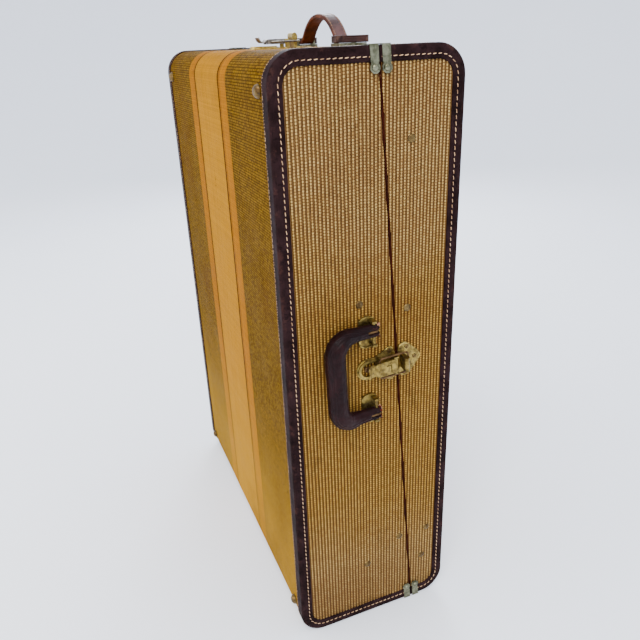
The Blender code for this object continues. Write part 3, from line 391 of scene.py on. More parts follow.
def stained_plywood():
    """Plywood, seen only at the seam edges."""
    s = Shader("stained_plywood", roughness=0.7, Specular_IOR_Level=0.02)
    grain = s.noise(s.stretch(s.place(), (25.0, 900.0, 25.0)), 1.0, 4.0, 0.6)
    base = s.mix(s.step(grain, 0.35, 0.65), (62, 22, 12), (34, 12, 8))
    base = s.patches(base, (128, 78, 44), 0.5, 0.62, 0.72, 70.0, 5.0, 0.7)
    return s.finish(base, s.bump(grain, 0.0001, 0.4))


def beech_wood():
    """Varnished beech rod, grain along X."""
    s = Shader("beech_wood", roughness=0.35, Coat_Weight=0.3, Coat_Roughness=0.2)
    position = s.place()
    rings = s.noise(s.stretch(position, (14.0, 420.0, 420.0)), 1.0, 5.0, 0.6, 0.4)
    flecks = s.noise(s.stretch(position, (160.0, 1500.0, 1500.0)), 1.0, 3.0)
    base = s.mix(s.step(rings, 0.35, 0.65), (206, 158, 102), (166, 112, 62))
    base = s.mix(s.times(s.step(flecks, 0.60, 0.68), 0.5), base, (120, 74, 38))
    return s.finish(base, s.bump(rings, 0.0001, 0.3))


MATERIALS = {"tweed": striped_tweed(), "corded": corded_tweed(), "lining": lining_cloth(),
             "webbing": webbing_cloth(), "plywood": stained_plywood(), "beech": beech_wood(),
             "stitch": thread_material("stitch_thread", (206, 166, 122), (140, 100, 64)),
             "brown_thread": thread_material("brown_thread", (150, 104, 58), (104, 66, 34))}
for look, title, dark, mid, worn, wear_amount, rough, grain, gloss in (
    ("binding", "binding_leather", (24, 14, 14), (38, 24, 25), (70, 44, 38), 0.30, 0.46, 900.0, 0.010),
    ("handle", "handle_leather", (18, 6, 7), (32, 13, 14), (90, 42, 28), 0.25, 0.36, 900.0, 0.07),
    ("strap", "strap_leather", (56, 34, 31), (82, 55, 52), (122, 86, 70), 0.4, 0.42, 900.0, 0.18),
    ("strap_inside", "strap_inside_leather", (58, 24, 10), (88, 42, 18), (130, 78, 42),
     0.35, 0.6, 900.0, 0.15),
    ("tab", "tab_leather", (38, 20, 17), (62, 36, 30), (112, 80, 66), 0.4, 0.5, 900.0, 0.2),
    ("red", "torn_leather", (54, 12, 7), (92, 26, 14), (150, 104, 76), 0.35, 0.75, 500.0, 0.1),
    ("fibre", "torn_fibre", (146, 100, 76), (190, 156, 132), (214, 192, 168), 0.5, 0.85, 1500.0, 0.1),
):
    MATERIALS[look] = leather(title, dark, mid, worn, wear_amount, rough, grain, gloss)
for look, title, bright, dull, tarnish, amount, rough in (
    ("brass", "aged_brass", (150, 128, 66), (92, 74, 36), (38, 26, 14), 0.65, 0.36),
    # pale_brass: a lighter copy of aged brass; on the latch rims it is painted highlight
    ("pale_brass", "pale_brass", (196, 172, 92), (138, 112, 52), (62, 44, 22), 0.5, 0.30),
    ("nickel", "aged_nickel", (124, 124, 100), (84, 84, 64), (46, 42, 30), 0.50, 0.36),
    ("bronze", "browned_bronze", (108, 88, 52), (72, 54, 30), (32, 22, 12), 0.5, 0.38),
    ("steel", "plain_steel", (150, 144, 134), (96, 90, 82), (58, 38, 26), 0.5, 0.36),
    ("rusty", "rusty_steel", (112, 86, 56), (76, 54, 32), (70, 38, 18), 0.8, 0.46),
):
    MATERIALS[look] = aged_metal(title, bright, dull, tarnish, amount, rough)


# ---- mesh helpers
def linked(name, data):
    """New object in the scene."""
    obj = bpy.data.objects.new(name, data)
    bpy.context.scene.collection.objects.link(obj)
    return obj


def new_piece(name, mesh, material, body):
    """Links a finished mesh as a visible piece that rides on a CAD body."""
    obj = linked(name, mesh)
    mesh.materials.append(MATERIALS[material])
    mesh.shade_smooth()
    mesh.set_sharp_from_angle(angle=math.radians(50))
    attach(obj, body)
    return obj


def plain_mesh(name, vertices, faces):
    mesh = bpy.data.meshes.new(name)
    mesh.from_pydata([tuple(v) for v in vertices], [], faces)
    return mesh


def mesh_from(name, vertices, faces):
    """Mesh whose faces all look outward."""
    mesh = plain_mesh(name, vertices, faces)
    mesh.validate()
    bm = bmesh.new()
    bm.from_mesh(mesh)
    bmesh.ops.recalc_face_normals(bm, faces=bm.faces)
    bm.to_mesh(mesh)
    bm.free()
    return mesh


def grid(rows, around=False, ends=False, flip=False):
    """Vertices and faces of a sheet or a tube from equal rows of points."""
    width = len(rows[0])
    vertices = [point for row in rows for point in row]
    faces = []
    last = width if around else width - 1
    for r in range(len(rows) - 1):
        for c in range(last):
            d = (c + 1) % width
            face = (r * width + c, r * width + d, (r + 1) * width + d, (r + 1) * width + c)
            faces.append(tuple(reversed(face)) if flip else face)
    if ends:
        faces.append(tuple(range(width)))
        faces.append(tuple(reversed(range(len(vertices) - width, len(vertices)))))
    return vertices, faces


def sheet_mesh(name, rows, values, flip):
    """Open sheet whose points carry the attribute cloth."""
    vertices, faces = grid(rows, flip=flip)
    mesh = plain_mesh(name, vertices, faces)
    attribute = mesh.attributes.new("cloth", "FLOAT_VECTOR", "POINT")
    flat = [number for row in values for value in row for number in value]
    attribute.data.foreach_set("vector", flat)
    return mesh


def add_wear(mesh, values):
    """Per-point attribute wear, 0 sheltered to 1 rubbed."""
    attribute = mesh.attributes.new("wear", "FLOAT", "POINT")
    attribute.data.foreach_set("value", values)


def wobble(point, scale, amount):
    """Small smooth offset that depends only on the place."""
    return noise.noise(Vector(point) * scale) * amount


def merge(parts):
    """Joins (vertices, faces) lists."""
    vertices, faces = [], []
    for part_vertices, part_faces in parts:
        base = len(vertices)
        vertices += part_vertices
        faces += [tuple(index + base for index in face) for face in part_faces]
    return vertices, faces


def joined_piece(name, parts, material, body):
    """One visible piece made of many small closed parts."""
    return new_piece(name, mesh_from(name, *merge(parts)), material, body)


def ring(centre, a, b, radius, sides):
    """Circle of points in the plane of the unit vectors a and b."""
    turns = [math.tau * k / sides for k in range(sides)]
    return [centre + (a * math.cos(t) + b * math.sin(t)) * radius for t in turns]


def arc(centre, radius, start, end, steps):
    """Points (a, b) on an arc, angles in degrees."""
    angles = [math.radians(start + (end - start) * i / steps) for i in range(steps + 1)]
    return [(centre[0] + radius * math.cos(t), centre[1] + radius * math.sin(t)) for t in angles]


# ---- outline of a case half
class Outline:
    """Outer edge of one half in (y, z), from the seam at the top to the seam at the bottom."""

    def __init__(self, side, spacing=0.012, corner_steps=14):
        self.side = side
        edge = FRONT_Y if side < 0 else BACK_Y
        bend = edge - side * CORNER_RADIUS
        self.points = []
        self.normals = []
        self.straight((seam_y(HEIGHT), HEIGHT), (bend, HEIGHT), (0, 1), spacing)
        self.corner((bend, HEIGHT - CORNER_RADIUS), 90, corner_steps)
        self.straight((edge, HEIGHT - CORNER_RADIUS), (edge, CORNER_RADIUS), (side, 0), spacing)
        self.corner((bend, CORNER_RADIUS), 0, corner_steps)
        self.straight((bend, 0), (seam_y(0), 0), (0, -1), spacing, last=True)

    def straight(self, start, end, normal, spacing, last=False):
        length = math.dist(start, end)
        steps = max(2, round(length / spacing))
        for i in range(steps + 1 if last else steps):
            share = i / steps
            self.points.append(tuple(a + (b - a) * share for a, b in zip(start, end)))
            self.normals.append(normal)

    def corner(self, centre, start, steps):
        for i in range(steps):
            angle = math.radians(start - 90 * i / steps)
            normal = (self.side * math.cos(angle), math.sin(angle))
            self.points.append(tuple(c + CORNER_RADIUS * n for c, n in zip(centre, normal)))
            self.normals.append(normal)

    def at(self, inset, gap=SEAM_GAP):
        """The outline moved in by inset; its ends stay on the slanted seam."""
        moved = []
        final = len(self.points) - 1
        for index, ((y, z), (ny, nz)) in enumerate(zip(self.points, self.normals)):
            y, z = y - ny * inset, z - nz * inset
            if index in (0, final):
                y = seam_y(z) + self.side * gap
            moved.append((y, z))
        return moved


OUTLINES = {half: Outline(side) for half, (_, side) in HALVES.items()}


def lengths(points):
    """Running length along a list of points."""
    total, out = 0.0, [0.0]
    for first, second in zip(points, points[1:]):
        total += math.dist(first, second)
        out.append(total)
    return out


# ---- fabric of the faces
WRAP_STEPS, WRAP_THICKNESS = 40, 0.0008


def make_wrap(half):
    """Fabric glued round the faces of one half, just under the leather at both ends."""
    _, side = HALVES[half]
    edge = OUTLINES[half].at(COVER_INSET, FABRIC_SETBACK)
    reach = HALF_WIDTH - 0.006
    across = [-reach + 2 * reach * i / WRAP_STEPS for i in range(WRAP_STEPS + 1)]
    rows, values = [], []
    for (y, z), (ny, nz), run in zip(edge, OUTLINES[half].normals, lengths(edge)):
        dents = [abs(wobble((x, y, z), 9.0, 0.0004)) for x in across]
        rows.append([Vector((CENTRE.x + x, y - ny * d, z - nz * d)) for x, d in zip(across, dents)])
        values.append([(x, run, 0.0) for x in across])
    cover_with_cloth(f"{half}_wrap", rows, values, side > 0, "tweed", half, WRAP_THICKNESS)


def cover_with_cloth(name, rows, values, flip, material, half, thickness):
    """Cloth sheet that stands for the fabric cover of one half."""
    piece = new_piece(name, sheet_mesh(name, rows, values, flip), material, HALVES[half][0])
    solid = piece.modifiers.new("thickness", "SOLIDIFY")
    solid.thickness = thickness
    solid.offset = -1.0
    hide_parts(f"{half}_cover")


# ---- fabric of the end panels
PANEL_STEPS, PANEL_THICKNESS, PANEL_INSET = 30, 0.0006, 0.004
CORD_CREST = 0.48
CORD_COLUMNS = (
    (-0.500, 0.10), (-0.462, 0.08), (-0.425, 0.0), (-0.235, 0.0), (-0.205, 0.12),
    (-0.150, 0.34), (-0.075, 0.45), (0.0, 0.48), (0.075, 0.45), (0.150, 0.34),
    (0.205, 0.12), (0.235, 0.0), (0.425, 0.0), (0.462, 0.08),
)


def panel_span(y, side, inset):
    """Lowest and highest z of the panel's fabric at depth y, or None outside it."""
    radius = CORNER_RADIUS - inset
    low, high = inset, HEIGHT - inset
    for edge, sign in ((FRONT_Y + inset, -1), (BACK_Y - inset, 1)):
        past = sign * (y - (edge - sign * radius))
        if past > radius:
            return None
        if past > 0:
            drop = radius - math.sqrt(radius * radius - past * past)
            low, high = inset + drop, HEIGHT - inset - drop
    on_seam = y - side * FABRIC_SETBACK
    seam_z = HEIGHT * (SEAM_BOTTOM_Y - on_seam) / (SEAM_BOTTOM_Y - SEAM_TOP_Y)
    if side < 0:
        high = min(high, seam_z)
    else:
        low = max(low, seam_z)
    return (low, high) if high - low > 0.002 else None


def make_panel(half, end):
    """Corded fabric of one end panel: every cord is a raised rib."""
    _, side = HALVES[half]
    sign = ENDS[end]
    first = math.floor((FRONT_Y - CENTRE.y) / CORD_PITCH)
    last = math.ceil((BACK_Y - CENTRE.y) / CORD_PITCH)
    columns = []
    for number in range(first, last + 1):
        columns += [((number + share) * CORD_PITCH, rise) for share, rise in CORD_COLUMNS]
    rows, values = [], []
    for offset, rise in columns:
        y = CENTRE.y + offset
        span = panel_span(y, side, PANEL_INSET)
        if not span:
            continue
        heights = [span[0] + (span[1] - span[0]) * i / PANEL_STEPS for i in range(PANEL_STEPS + 1)]
        lifts = [(rise - CORD_CREST) * 0.001 - abs(wobble((sign, y, z), 11.0, 0.0003)) for z in heights]
        rows.append([Vector((CENTRE.x + sign * (PANEL_X + lift), y, z)) for lift, z in zip(lifts, heights)])
        values.append([(offset, z, 0.0) for z in heights])
    cover_with_cloth(f"{half}_panel_{end}", rows, values, sign < 0, "corded", half, PANEL_THICKNESS)


# ---- leather bindings
BINDING_FOLD = 0.0032


def binding_profile():
    """Closed L section as (distance from the panel plane, inset, wear)."""
    face, panel, under = BINDING_ON_FACE, BINDING_ON_PANEL, COVER_INSET - 0.0001
    points = [(face, under, 0.2), (face + 0.0001, 0.0012, 0.6), (face - 0.0003, 0.0004, 0.8)]
    points += [(face - 0.0011, 0.0, 0.6), (0.0150, -0.0001, 0.1), (0.0100, 0.0, 0.0), (0.0060, 0.0, 0.2)]
    for a, b in arc((1.0, 1.0), 1.0, -90, -180, 6):
        points.append((BINDING_FOLD * a, BINDING_FOLD * b, 1.0))
    points += [(-0.0001, 0.0070, 0.2), (0.0, 0.0100, 0.0), (0.0, 0.0128, 0.2)]
    points += [(0.0002, panel - 0.0012, 0.6), (0.0006, panel - 0.0003, 0.8), (0.0013, panel, 0.6)]
    return points + [(under, panel, 0.2), (under, under, 0.0)]


def make_binding(half, end):
    """Leather folded over the edge between the faces and one end panel."""
    sign = ENDS[end]
    outline = OUTLINES[half]
    profile = binding_profile()
    columns = [outline.at(inset) for _, inset, _ in profile]
    rows, wear = [], []
    for station, (ny, nz) in enumerate(outline.normals):
        curved = abs(ny * nz) > 0.02
        row = []
        for (depth, inset, rub), column in zip(profile, columns):
            y, z = column[station]
            x = HALF_WIDTH - depth
            ripple = wobble((x, y, z), 70.0, 0.00022)
            if curved:
                ripple += wobble((x, y, z), 260.0, 0.00022)
            hidden = inset > 0.0018 and depth > 0.0018
            lift = 0.0 if hidden else min(ripple, 0.0001)
            push_x, push = (lift, 0.0) if depth < 0.003 else (0.0, lift)
            place = Vector((CENTRE.x + sign * (x + push_x), y + ny * push, z + nz * push))
            place.z = max(place.z, 0.0)
            row.append(place)
            wear.append(min(1.0, rub + (0.35 if curved and rub > 0.5 else 0.0)))
        rows.append(row)
    name = f"{half}_edge_{end}"
    mesh = mesh_from(name, *grid(rows, around=True, ends=True))
    add_wear(mesh, wear)
    piece = new_piece(name, mesh, "binding", HALVES[half][0])
    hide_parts(f"{half}_binding_{end}")


# ---- stitching
def stitch(centre, along, normal, length, radius):
    """One stitch: a thread that arches out of the leather and dives back in."""
    across = along.cross(normal)
    rows = []
    for i in range(7):
        share = i / 3 - 1
        rise = radius * 1.25 * (1 - share**4) - radius * 0.55
        girth = radius * (1.0 if abs(share) < 0.9 else 0.55)
        rows.append(ring(centre + along * (share * length / 2) + normal * rise, across, normal, girth, 6))
    return grid(rows, around=True, ends=True)


def walk(points, pitch, start):
    """Evenly spaced (point, direction) pairs along a polyline of vectors."""
    runs = lengths(points)
    found = []
    distance, index = start, 0
    while distance < runs[-1] - start:
        while runs[index + 1] < distance:
            index += 1
        share = (distance - runs[index]) / (runs[index + 1] - runs[index])
        here, there = points[index], points[index + 1]
        found.append((here.lerp(there, share), (there - here).normalized()))
        distance += pitch
    return found


STITCH_PITCH, STITCH_INSET, STITCH_LENGTH, STITCH_RADIUS = 0.0062, 0.0100, 0.0042, 0.00042
EDGE_STITCH_FROM_EDGE, EDGE_STITCH_LENGTH, EDGE_STITCH_RADIUS = 0.0030, 0.0034, 0.00046
STITCH_SLANT = math.radians(9)


def make_panel_stitches(half, end):
    """Cream saddle stitches on the end panel's leather."""
    sign = ENDS[end]
    path = [Vector((CENTRE.x + sign * HALF_WIDTH, y, z)) for y, z in OUTLINES[half].at(STITCH_INSET)]
    slant = Matrix.Rotation(STITCH_SLANT * sign, 3, "X")
    parts = []
    for number, (centre, along) in enumerate(walk(path, STITCH_PITCH, 0.0035)):
        turn = Matrix.Rotation(wobble((number, sign, 3), 1.7, 0.10), 3, "X")
        size = STITCH_LENGTH * (1 + wobble((number, 5, sign), 1.3, 0.12))
        parts.append(stitch(centre, turn @ slant @ along, X_AXIS * sign, size, STITCH_RADIUS))
    joined_piece(f"{half}_stitches_{end}", parts, "stitch", HALVES[half][0])


def make_face_stitches(half, end):
    """Smaller stitches along the leather's edge on the faces."""
    body, side = HALVES[half]
    sign = ENDS[end]
    x = CENTRE.x + sign * (HALF_WIDTH - BINDING_ON_FACE + EDGE_STITCH_FROM_EDGE)
    path = [Vector((x, y, z)) for y, z in OUTLINES[half].at(0.0)]
    parts = []
    for number, (centre, along) in enumerate(walk(path, STITCH_PITCH, 0.0040)):
        above_floor = Z_AXIS * (0.0003 if centre.z < 0.004 else 0.0)
        size = EDGE_STITCH_LENGTH * (1 + wobble((number, 9, sign), 1.3, 0.12))
        outward = along.cross(X_AXIS) * side
        parts.append(stitch(centre + above_floor, along, outward, size, EDGE_STITCH_RADIUS))
    joined_piece(f"{half}_edge_stitches_{end}", parts, "stitch", body)


# ---- small turned pieces
def turned(profile, centre, normal, sides=20):
    """Closed solid of revolution; profile is (radius, height) from the rim to the crown."""
    side = normal.orthogonal().normalized()
    other = normal.cross(side)
    rows = [ring(centre + normal * rise, side, other, radius, sides) for radius, rise in profile]
    return grid(rows, around=True, ends=True)


DOME = ((0.94, 0.0), (1.0, 0.10), (0.98, 0.26), (0.88, 0.55), (0.68, 0.80), (0.42, 0.95),
        (0.14, 1.0), (0.02, 1.0))


def dome(centre, normal, radius, rise):
    """Rivet head: a low dome with a soft rim."""
    return turned([(radius * a, rise * b) for a, b in DOME], centre, normal)


def slotted_screw(centre, normal, radius, rise, turn):
    """Raised screw head: a thin disc under two half domes with the slot between them."""
    side = Matrix.Rotation(turn, 3, normal) @ normal.orthogonal().normalized()
    other = normal.cross(side)
    disc = [(radius * 0.97, 0.0), (radius * 0.97, rise * 0.35), (radius * 0.90, rise * 0.36)]
    parts = [turned(disc, centre, normal, 18)]
    lean = math.degrees(math.asin(0.17))
    for sign in (1, -1):
        half = arc((0, 0), radius, lean, 180 - lean, 12)
        rows = []
        for scale, share in ((1.0, 0.20), (1.0, 0.62), (0.90, 0.88), (0.66, 1.0)):
            row = []
            for a, b in half:
                a, b = a * scale, radius * 0.45 + (b - radius * 0.45) * scale
                b = max(b, radius * 0.17)
                row.append(centre + side * (a * sign) + other * (b * sign) + normal * (rise * share))
            rows.append(row)
        parts.append(grid(rows, around=True, ends=True))
    return merge(parts)


def wire(points, radius, sides=8, closed=False):
    """Round wire along a list of vectors."""
    rows = []
    last = len(points) - 1
    normal = None
    for index, point in enumerate(points):
        before = points[index - 1] if closed or index else point
        after = points[(index + 1) % len(points)] if closed or index < last else point
        along = (after - before).normalized()
        normal = along.orthogonal() if normal is None else normal - along * normal.dot(along)
        normal.normalize()
        rows.append(ring(point, normal, along.cross(normal), radius, sides))
    if closed:
        rows.append(rows[0])
    return grid(rows, around=True, ends=not closed)


class Place:
    """Local frame of a joint: v along its axis, n out of the case, u across both."""

    def __init__(self, joint, outward):
        self.origin = Vector(JOINTS[joint]["pos_m"])
        self.v = Vector(JOINTS[joint]["axis"]).normalized()
        self.n = outward
        self.u = self.v.cross(outward).normalized()

    def at(self, u, v, n):
        return self.origin + self.u * u + self.v * v + self.n * n


# ---- finish of the CAD pieces
BEVELS = {"brass": 0.0003, "nickel": 0.0003, "steel": 0.0002, "plywood": 0.0004, "beech": 0.0004}
SLOT_LOOKS = {"leather": "binding", "handle_leather": "handle", "strap_leather": "strap"}
NODE_LOOKS = {"near_latch_bail": "rusty", "top_latch_catch": "pale_brass", "top_latch_base": "pale_brass",
              "near_latch_pin": "rusty", "handle_ring_upper": "rusty", "handle_ring_lower": "rusty",
              "near_latch_catch": "brass", "top_latch_bail": "steel", "top_latch_lever": "steel"}
SHARP_ANGLE = math.radians(42)


def finish_nodes():
    """Gives every CAD piece an aged material and softened edges."""
    for name, node in NODES.items():
        kind = node.material_slots[0].name.split(".")[0]
        look = NODE_LOOKS.get(name, SLOT_LOOKS.get(kind, kind))
        node.material_slots[0].material = MATERIALS[look]
        node.data.shade_smooth()
        node.data.set_sharp_from_angle(angle=SHARP_ANGLE)
        if kind in BEVELS:
            bevel = node.modifiers.new("softened_edges", "BEVEL")
            bevel.width = BEVELS[kind]
            bevel.segments = 2
            bevel.limit_method = "ANGLE"
            bevel.angle_limit = SHARP_ANGLE


# ---- rivets and screws
PANEL_RIVETS = {"lid": ((0.712, 0.877), (0.703, 0.6185), (0.874, 0.160), (0.844, 0.095)),
                "body": ((0.421, 0.639), (0.678, 0.159), (0.456, 0.118))}
RIVET_RADIUS, RIVET_RISE = 0.0047, 0.0024
CLIP_RIVET_RADIUS, CLIP_RIVET_RISE, CLIP_TAB_RADIUS = 0.0036, 0.0026, 0.0055
LEVELS = ("upper", "lower")


def make_rivets(half, end):
    """Dome rivets: those that hold the fittings on an end panel, and one on each clip's round tab."""
    body, _ = HALVES[half]
    sign = ENDS[end]
    outward = X_AXIS * sign
    x = CENTRE.x + sign * (PANEL_X - 0.0002)
    parts = []
    for depth_share, height_share in PANEL_RIVETS[half]:
        spot = Vector((x, CENTRE.y + HALF_DEPTH * (2 * depth_share - 1), HEIGHT * height_share))
        parts.append(dome(spot, outward, RIVET_RADIUS, RIVET_RISE))
    joined_piece(f"{half}_rivets_{end}", parts, "bronze", body)
    parts = []
    for level in LEVELS:
        low, high = corners(f"{half}_clip_{end}_{level}")
        z = low.z + CLIP_TAB_RADIUS if level == "upper" else high.z - CLIP_TAB_RADIUS
        spot = Vector((high.x if sign > 0 else low.x, (low.y + high.y) / 2, z))
        parts.append(dome(spot, outward, CLIP_RIVET_RADIUS, CLIP_RIVET_RISE))
    joined_piece(f"{half}_clip_rivets_{end}", parts, "nickel", body)


LATCHES = {"near": X_AXIS, "top": Z_AXIS}
LATCH_EAR = (-0.0046, 0.0163)
LATCH_ROUND_END_U, LATCH_ROUND_RADIUS = -0.0338, 0.0121
CATCH_LOBE = (0.0183, 0.0153)
CATCH_TIP_U = 0.0279
PLATE_TOP = -0.0072


def make_latch_screws(latch, outward):
    """Slotted screws in the ears, window and catch lobes of one latch."""
    place = Place(f"{latch}_lever_pivot", outward)

    def screws(spots, first_turn, turn_step):
        parts = []
        for number, (u, v) in enumerate(spots):
            spot = place.at(u, v, PLATE_TOP - 0.0003)
            parts.append(slotted_screw(spot, outward, 0.0027, 0.0013, first_turn + turn_step * number))
        return parts

    ears = screws([(LATCH_EAR[0], LATCH_EAR[1] * sign) for sign in (1, -1)], 0.7, 1.9)
    lobes = screws([CATCH_LOBE, (CATCH_LOBE[0], -CATCH_LOBE[1]), (CATCH_TIP_U, 0)], 0.3, 1.3)
    window = slotted_screw(place.at(LATCH_ROUND_END_U, 0, PLATE_TOP - 0.0011), outward, 0.0034, 0.0022, 0.4)
    joined_piece(f"{latch}_latch_screws", ears, "bronze", "case_body")
    joined_piece(f"{latch}_window_screw", [window], "rusty", "case_body")
    joined_piece(f"{latch}_catch_screws", lobes, "bronze", "lid")


def make_hinge_screws(half, level):
    """Three slotted screws in one hinge leaf."""
    body, side = HALVES[half]
    along = Vector(JOINTS["lid_hinge"]["axis"]).normalized()
    middle = sum(corners(f"hinge_pin_{level}"), Vector()) / 2
    _, high = corners(f"hinge_{half}_leaf_{level}")
    parts = []
    for number, shift in enumerate((-0.022, 0.0, 0.022)):
        spot = middle + along.cross(X_AXIS) * (side * 0.0135) + along * shift
        spot.x = high.x - 0.0013
        parts.append(slotted_screw(spot, -X_AXIS, 0.0029, 0.0012, 0.5 + 1.7 * number))
    joined_piece(f"{half}_hinge_screws_{level}", parts, "steel", body)


EAR_RIM_RADIUS, LOBE_RIM_RADIUS = 0.0047, 0.0066
LOBE_RIM = (CATCH_LOBE[0] - 0.0040, CATCH_LOBE[1] - 0.0013)
RIM_WIRE = 0.00050
BASE_RIMS = (
    ((LATCH_ROUND_END_U, 0), LATCH_ROUND_RADIUS, 96, 264, 24),
    (LATCH_EAR, EAR_RIM_RADIUS, 10, 150, 12),
    ((LATCH_EAR[0], -LATCH_EAR[1]), EAR_RIM_RADIUS, -150, -10, 12),
)
CATCH_RIMS = (
    (LOBE_RIM, LOBE_RIM_RADIUS, 45, 190, 14),
    ((LOBE_RIM[0], -LOBE_RIM[1]), LOBE_RIM_RADIUS, -190, -45, 14),
    ((CATCH_TIP_U, 0), LOBE_RIM_RADIUS, -40, 40, 8),
)


def make_latch_rims(latch, outward):
    """Rolled edges of one latch's plates, as (centre, radius, start, end, steps) arcs."""
    place = Place(f"{latch}_lever_pivot", outward)
    for kind, rims, body in (("base", BASE_RIMS, "case_body"), ("catch", CATCH_RIMS, "lid")):
        lines = [[place.at(u, v, PLATE_TOP + 0.0001) for u, v in arc(*rim)] for rim in rims]
        parts = [wire(line, RIM_WIRE) for line in lines]
        # the rims use pale brass, lighter than the plates' brass: painted highlights along the raised edges
        joined_piece(f"{latch}_{kind}_rims", parts, "pale_brass", body)


# ---- leather grown over CAD shapes
def leather_over(name, node, voxel, material, body, shape):
    """Remeshed copy of a CAD solid, moved by the (push, wear) that shape(point, normal) gives."""
    copy = linked(f"{name}_core", NODES[node].data.copy())
    remesh = copy.modifiers.new("remesh", "REMESH")
    remesh.mode = "VOXEL"
    remesh.voxel_size = voxel
    smooth = copy.modifiers.new("smooth", "SMOOTH")
    smooth.iterations = 3
    smooth.factor = 0.6
    graph = bpy.context.evaluated_depsgraph_get()
    mesh = bpy.data.meshes.new_from_object(copy.evaluated_get(graph))
    bpy.data.objects.remove(copy)
    mesh.name = name
    mesh.materials.clear()
    moved, wear = [], []
    for vertex in mesh.vertices:
        push, rub = shape(vertex.co, vertex.normal)
        moved.append(vertex.co + vertex.normal * push)
        wear.append(rub)
    mesh.vertices.foreach_set("co", [number for point in moved for number in point])
    add_wear(mesh, wear)
    piece = new_piece(name, mesh, material, body)
    mesh.shade_smooth()
    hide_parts(node)
    return piece


def ridge(value, middle, width):
    """Bell curve of height 1."""
    return math.exp(-(((value - middle) / width) ** 2))


# ---- carrying handle
HANDLE_BEND = 0.020
HANDLE_CORE_RISE = 0.0035
TORN_REACH = 0.0070
TORN_ROWS, FIBRE_POINTS = 7, 6
HANDLE_PIPES = ((0.55, 0.50, 0.10), (0.45, 1.25, 0.10), (0.30, 2.2, 0.12))
HANDLE_CREASES = ((-0.40, 0.72, 0.09), (-0.30, 1.05, 0.08))


class Handle:
    """Centre line of the handle: two legs and a bar joined by round bends."""

    def __init__(self):
        self.place = Place("handle_swing", X_AXIS)
        upper, lower = (sum(corners(f"handle_ring_{level}"), Vector()) / 2 for level in LEVELS)
        self.leg = (upper - lower).length / 2
        self.bar = (corners("handle_grip")[0].y - self.place.origin.y) + 0.012

    def local(self, point):
        off = point - self.place.origin
        return off.dot(self.place.u), off.dot(self.place.v), off.dot(self.place.n)

    def around(self, point):
        """(signed distance outside the centre line in its plane, height above it)."""
        u, v, n = self.local(point)
        a = self.bar - u + HANDLE_BEND
        b = abs(v) - self.leg + HANDLE_BEND
        outside = math.hypot(max(a, 0.0), max(b, 0.0)) + min(max(a, b), 0.0) - HANDLE_BEND
        return outside, n - HANDLE_CORE_RISE


def make_handle():
    """Creased leather over the core, piped along its length and torn at both ends."""
    handle = Handle()

    def shape(point, _):
        u, v, n = handle.local(point)
        outside, rise = handle.around(point)
        angle = math.atan2(rise, outside)
        grip_share = min(1.0, max(0.0, (0.004 - u) / 0.012))
        pipes, creases = (
            sum(share * ridge(angle, middle, width) for share, middle, width in ridges)
            for ridges in (HANDLE_PIPES, HANDLE_CREASES)
        )
        folds = abs(noise.noise(Vector((u * 160, v * 160, n * 160)))) * 0.5
        lumps = noise.noise(point * 55) * 0.35
        worn_end = max(0.0, 1.0 - grip_share)
        ragged = noise.noise(point * 420) * 0.5 * worn_end
        push = ((pipes + creases) * grip_share + lumps - folds + ragged) * 0.001
        bend = max(0.0, abs(v) - 0.03) / 0.03
        return push, min(1.0, 0.35 * pipes + 0.25 * bend + 0.5 * worn_end)

    name = "handle_leather_wrap"
    mesh = leather_over(name, "handle_grip", 0.0008, "handle", "handle", shape).data
    mesh.materials.append(MATERIALS["red"])
    for face in mesh.polygons:
        u, v, _ = handle.local(face.center)
        edge = 0.0090 + noise.noise(face.center * 260) * 0.0060
        lower_leg = v < 0 and u > 0.0046 + noise.noise(face.center * 300) * 0.004
        if u > edge or lower_leg:
            face.material_index = 1
    make_torn_ends(handle)
    make_handle_stitches(handle)


def torn_point(handle, u, v, n):
    """Point near a torn end, kept inside the cylinder that clears the panel at every swing."""
    share = min(1.0, TORN_REACH / math.hypot(u, n))
    return handle.place.at(u * share, v, n * share)


def torn_strip(handle, sign, number):
    """One frayed strip of leather beside a ring."""
    key = Vector((number, sign * 3.0, 0.5))
    angle = math.pi * (number % 2) + 1.6 * noise.noise(key * 1.7)
    cosine, sine = math.cos(angle), math.sin(angle)
    length = 0.0042 + 0.0035 * abs(noise.noise(key * 2.3))
    rows = []
    for i in range(TORN_ROWS):
        share = i / (TORN_ROWS - 1)
        u = 0.0030 + length * share * 0.75
        curl = 0.0008 * math.sin(5 * share + number)
        v = sign * handle.leg + (0.0062 + 0.0020 * share * share) * cosine + curl
        n = (0.0052 + 0.0026 * share) * sine + 0.0012 * share * share
        across = Vector((0, -sine, cosine)) * (0.0018 * (1 - 0.75 * share))
        lift = Vector((0, cosine, sine)) * 0.00045
        spots = [Vector((u, v, n)) + across * a + lift * b for a, b in ((-1, -1), (1, -1), (1, 1), (-1, 1))]
        rows.append([torn_point(handle, *spot) for spot in spots])
    return grid(rows, around=True, ends=True)


def torn_fibre(handle, sign, number):
    """One loose fibre beside a ring."""
    key = Vector((number * 0.9, sign * 5.0, 1.5))
    angle = math.pi * (number % 2) + 1.6 * noise.noise(key)
    reach = 0.0045 + 0.0035 * abs(noise.noise(key * 3))
    points = []
    for i in range(FIBRE_POINTS):
        share = i / (FIBRE_POINTS - 1)
        u = 0.0020 + reach * share + 0.0006 * math.sin(9 * share + number)
        v = sign * handle.leg + (0.0050 + 0.0016 * share) * math.cos(angle)
        n = (0.0040 + 0.0018 * share) * math.sin(angle) + 0.0005 * math.cos(7 * share)
        points.append(torn_point(handle, u, v, n))
    return wire(points, 0.00022, 5)


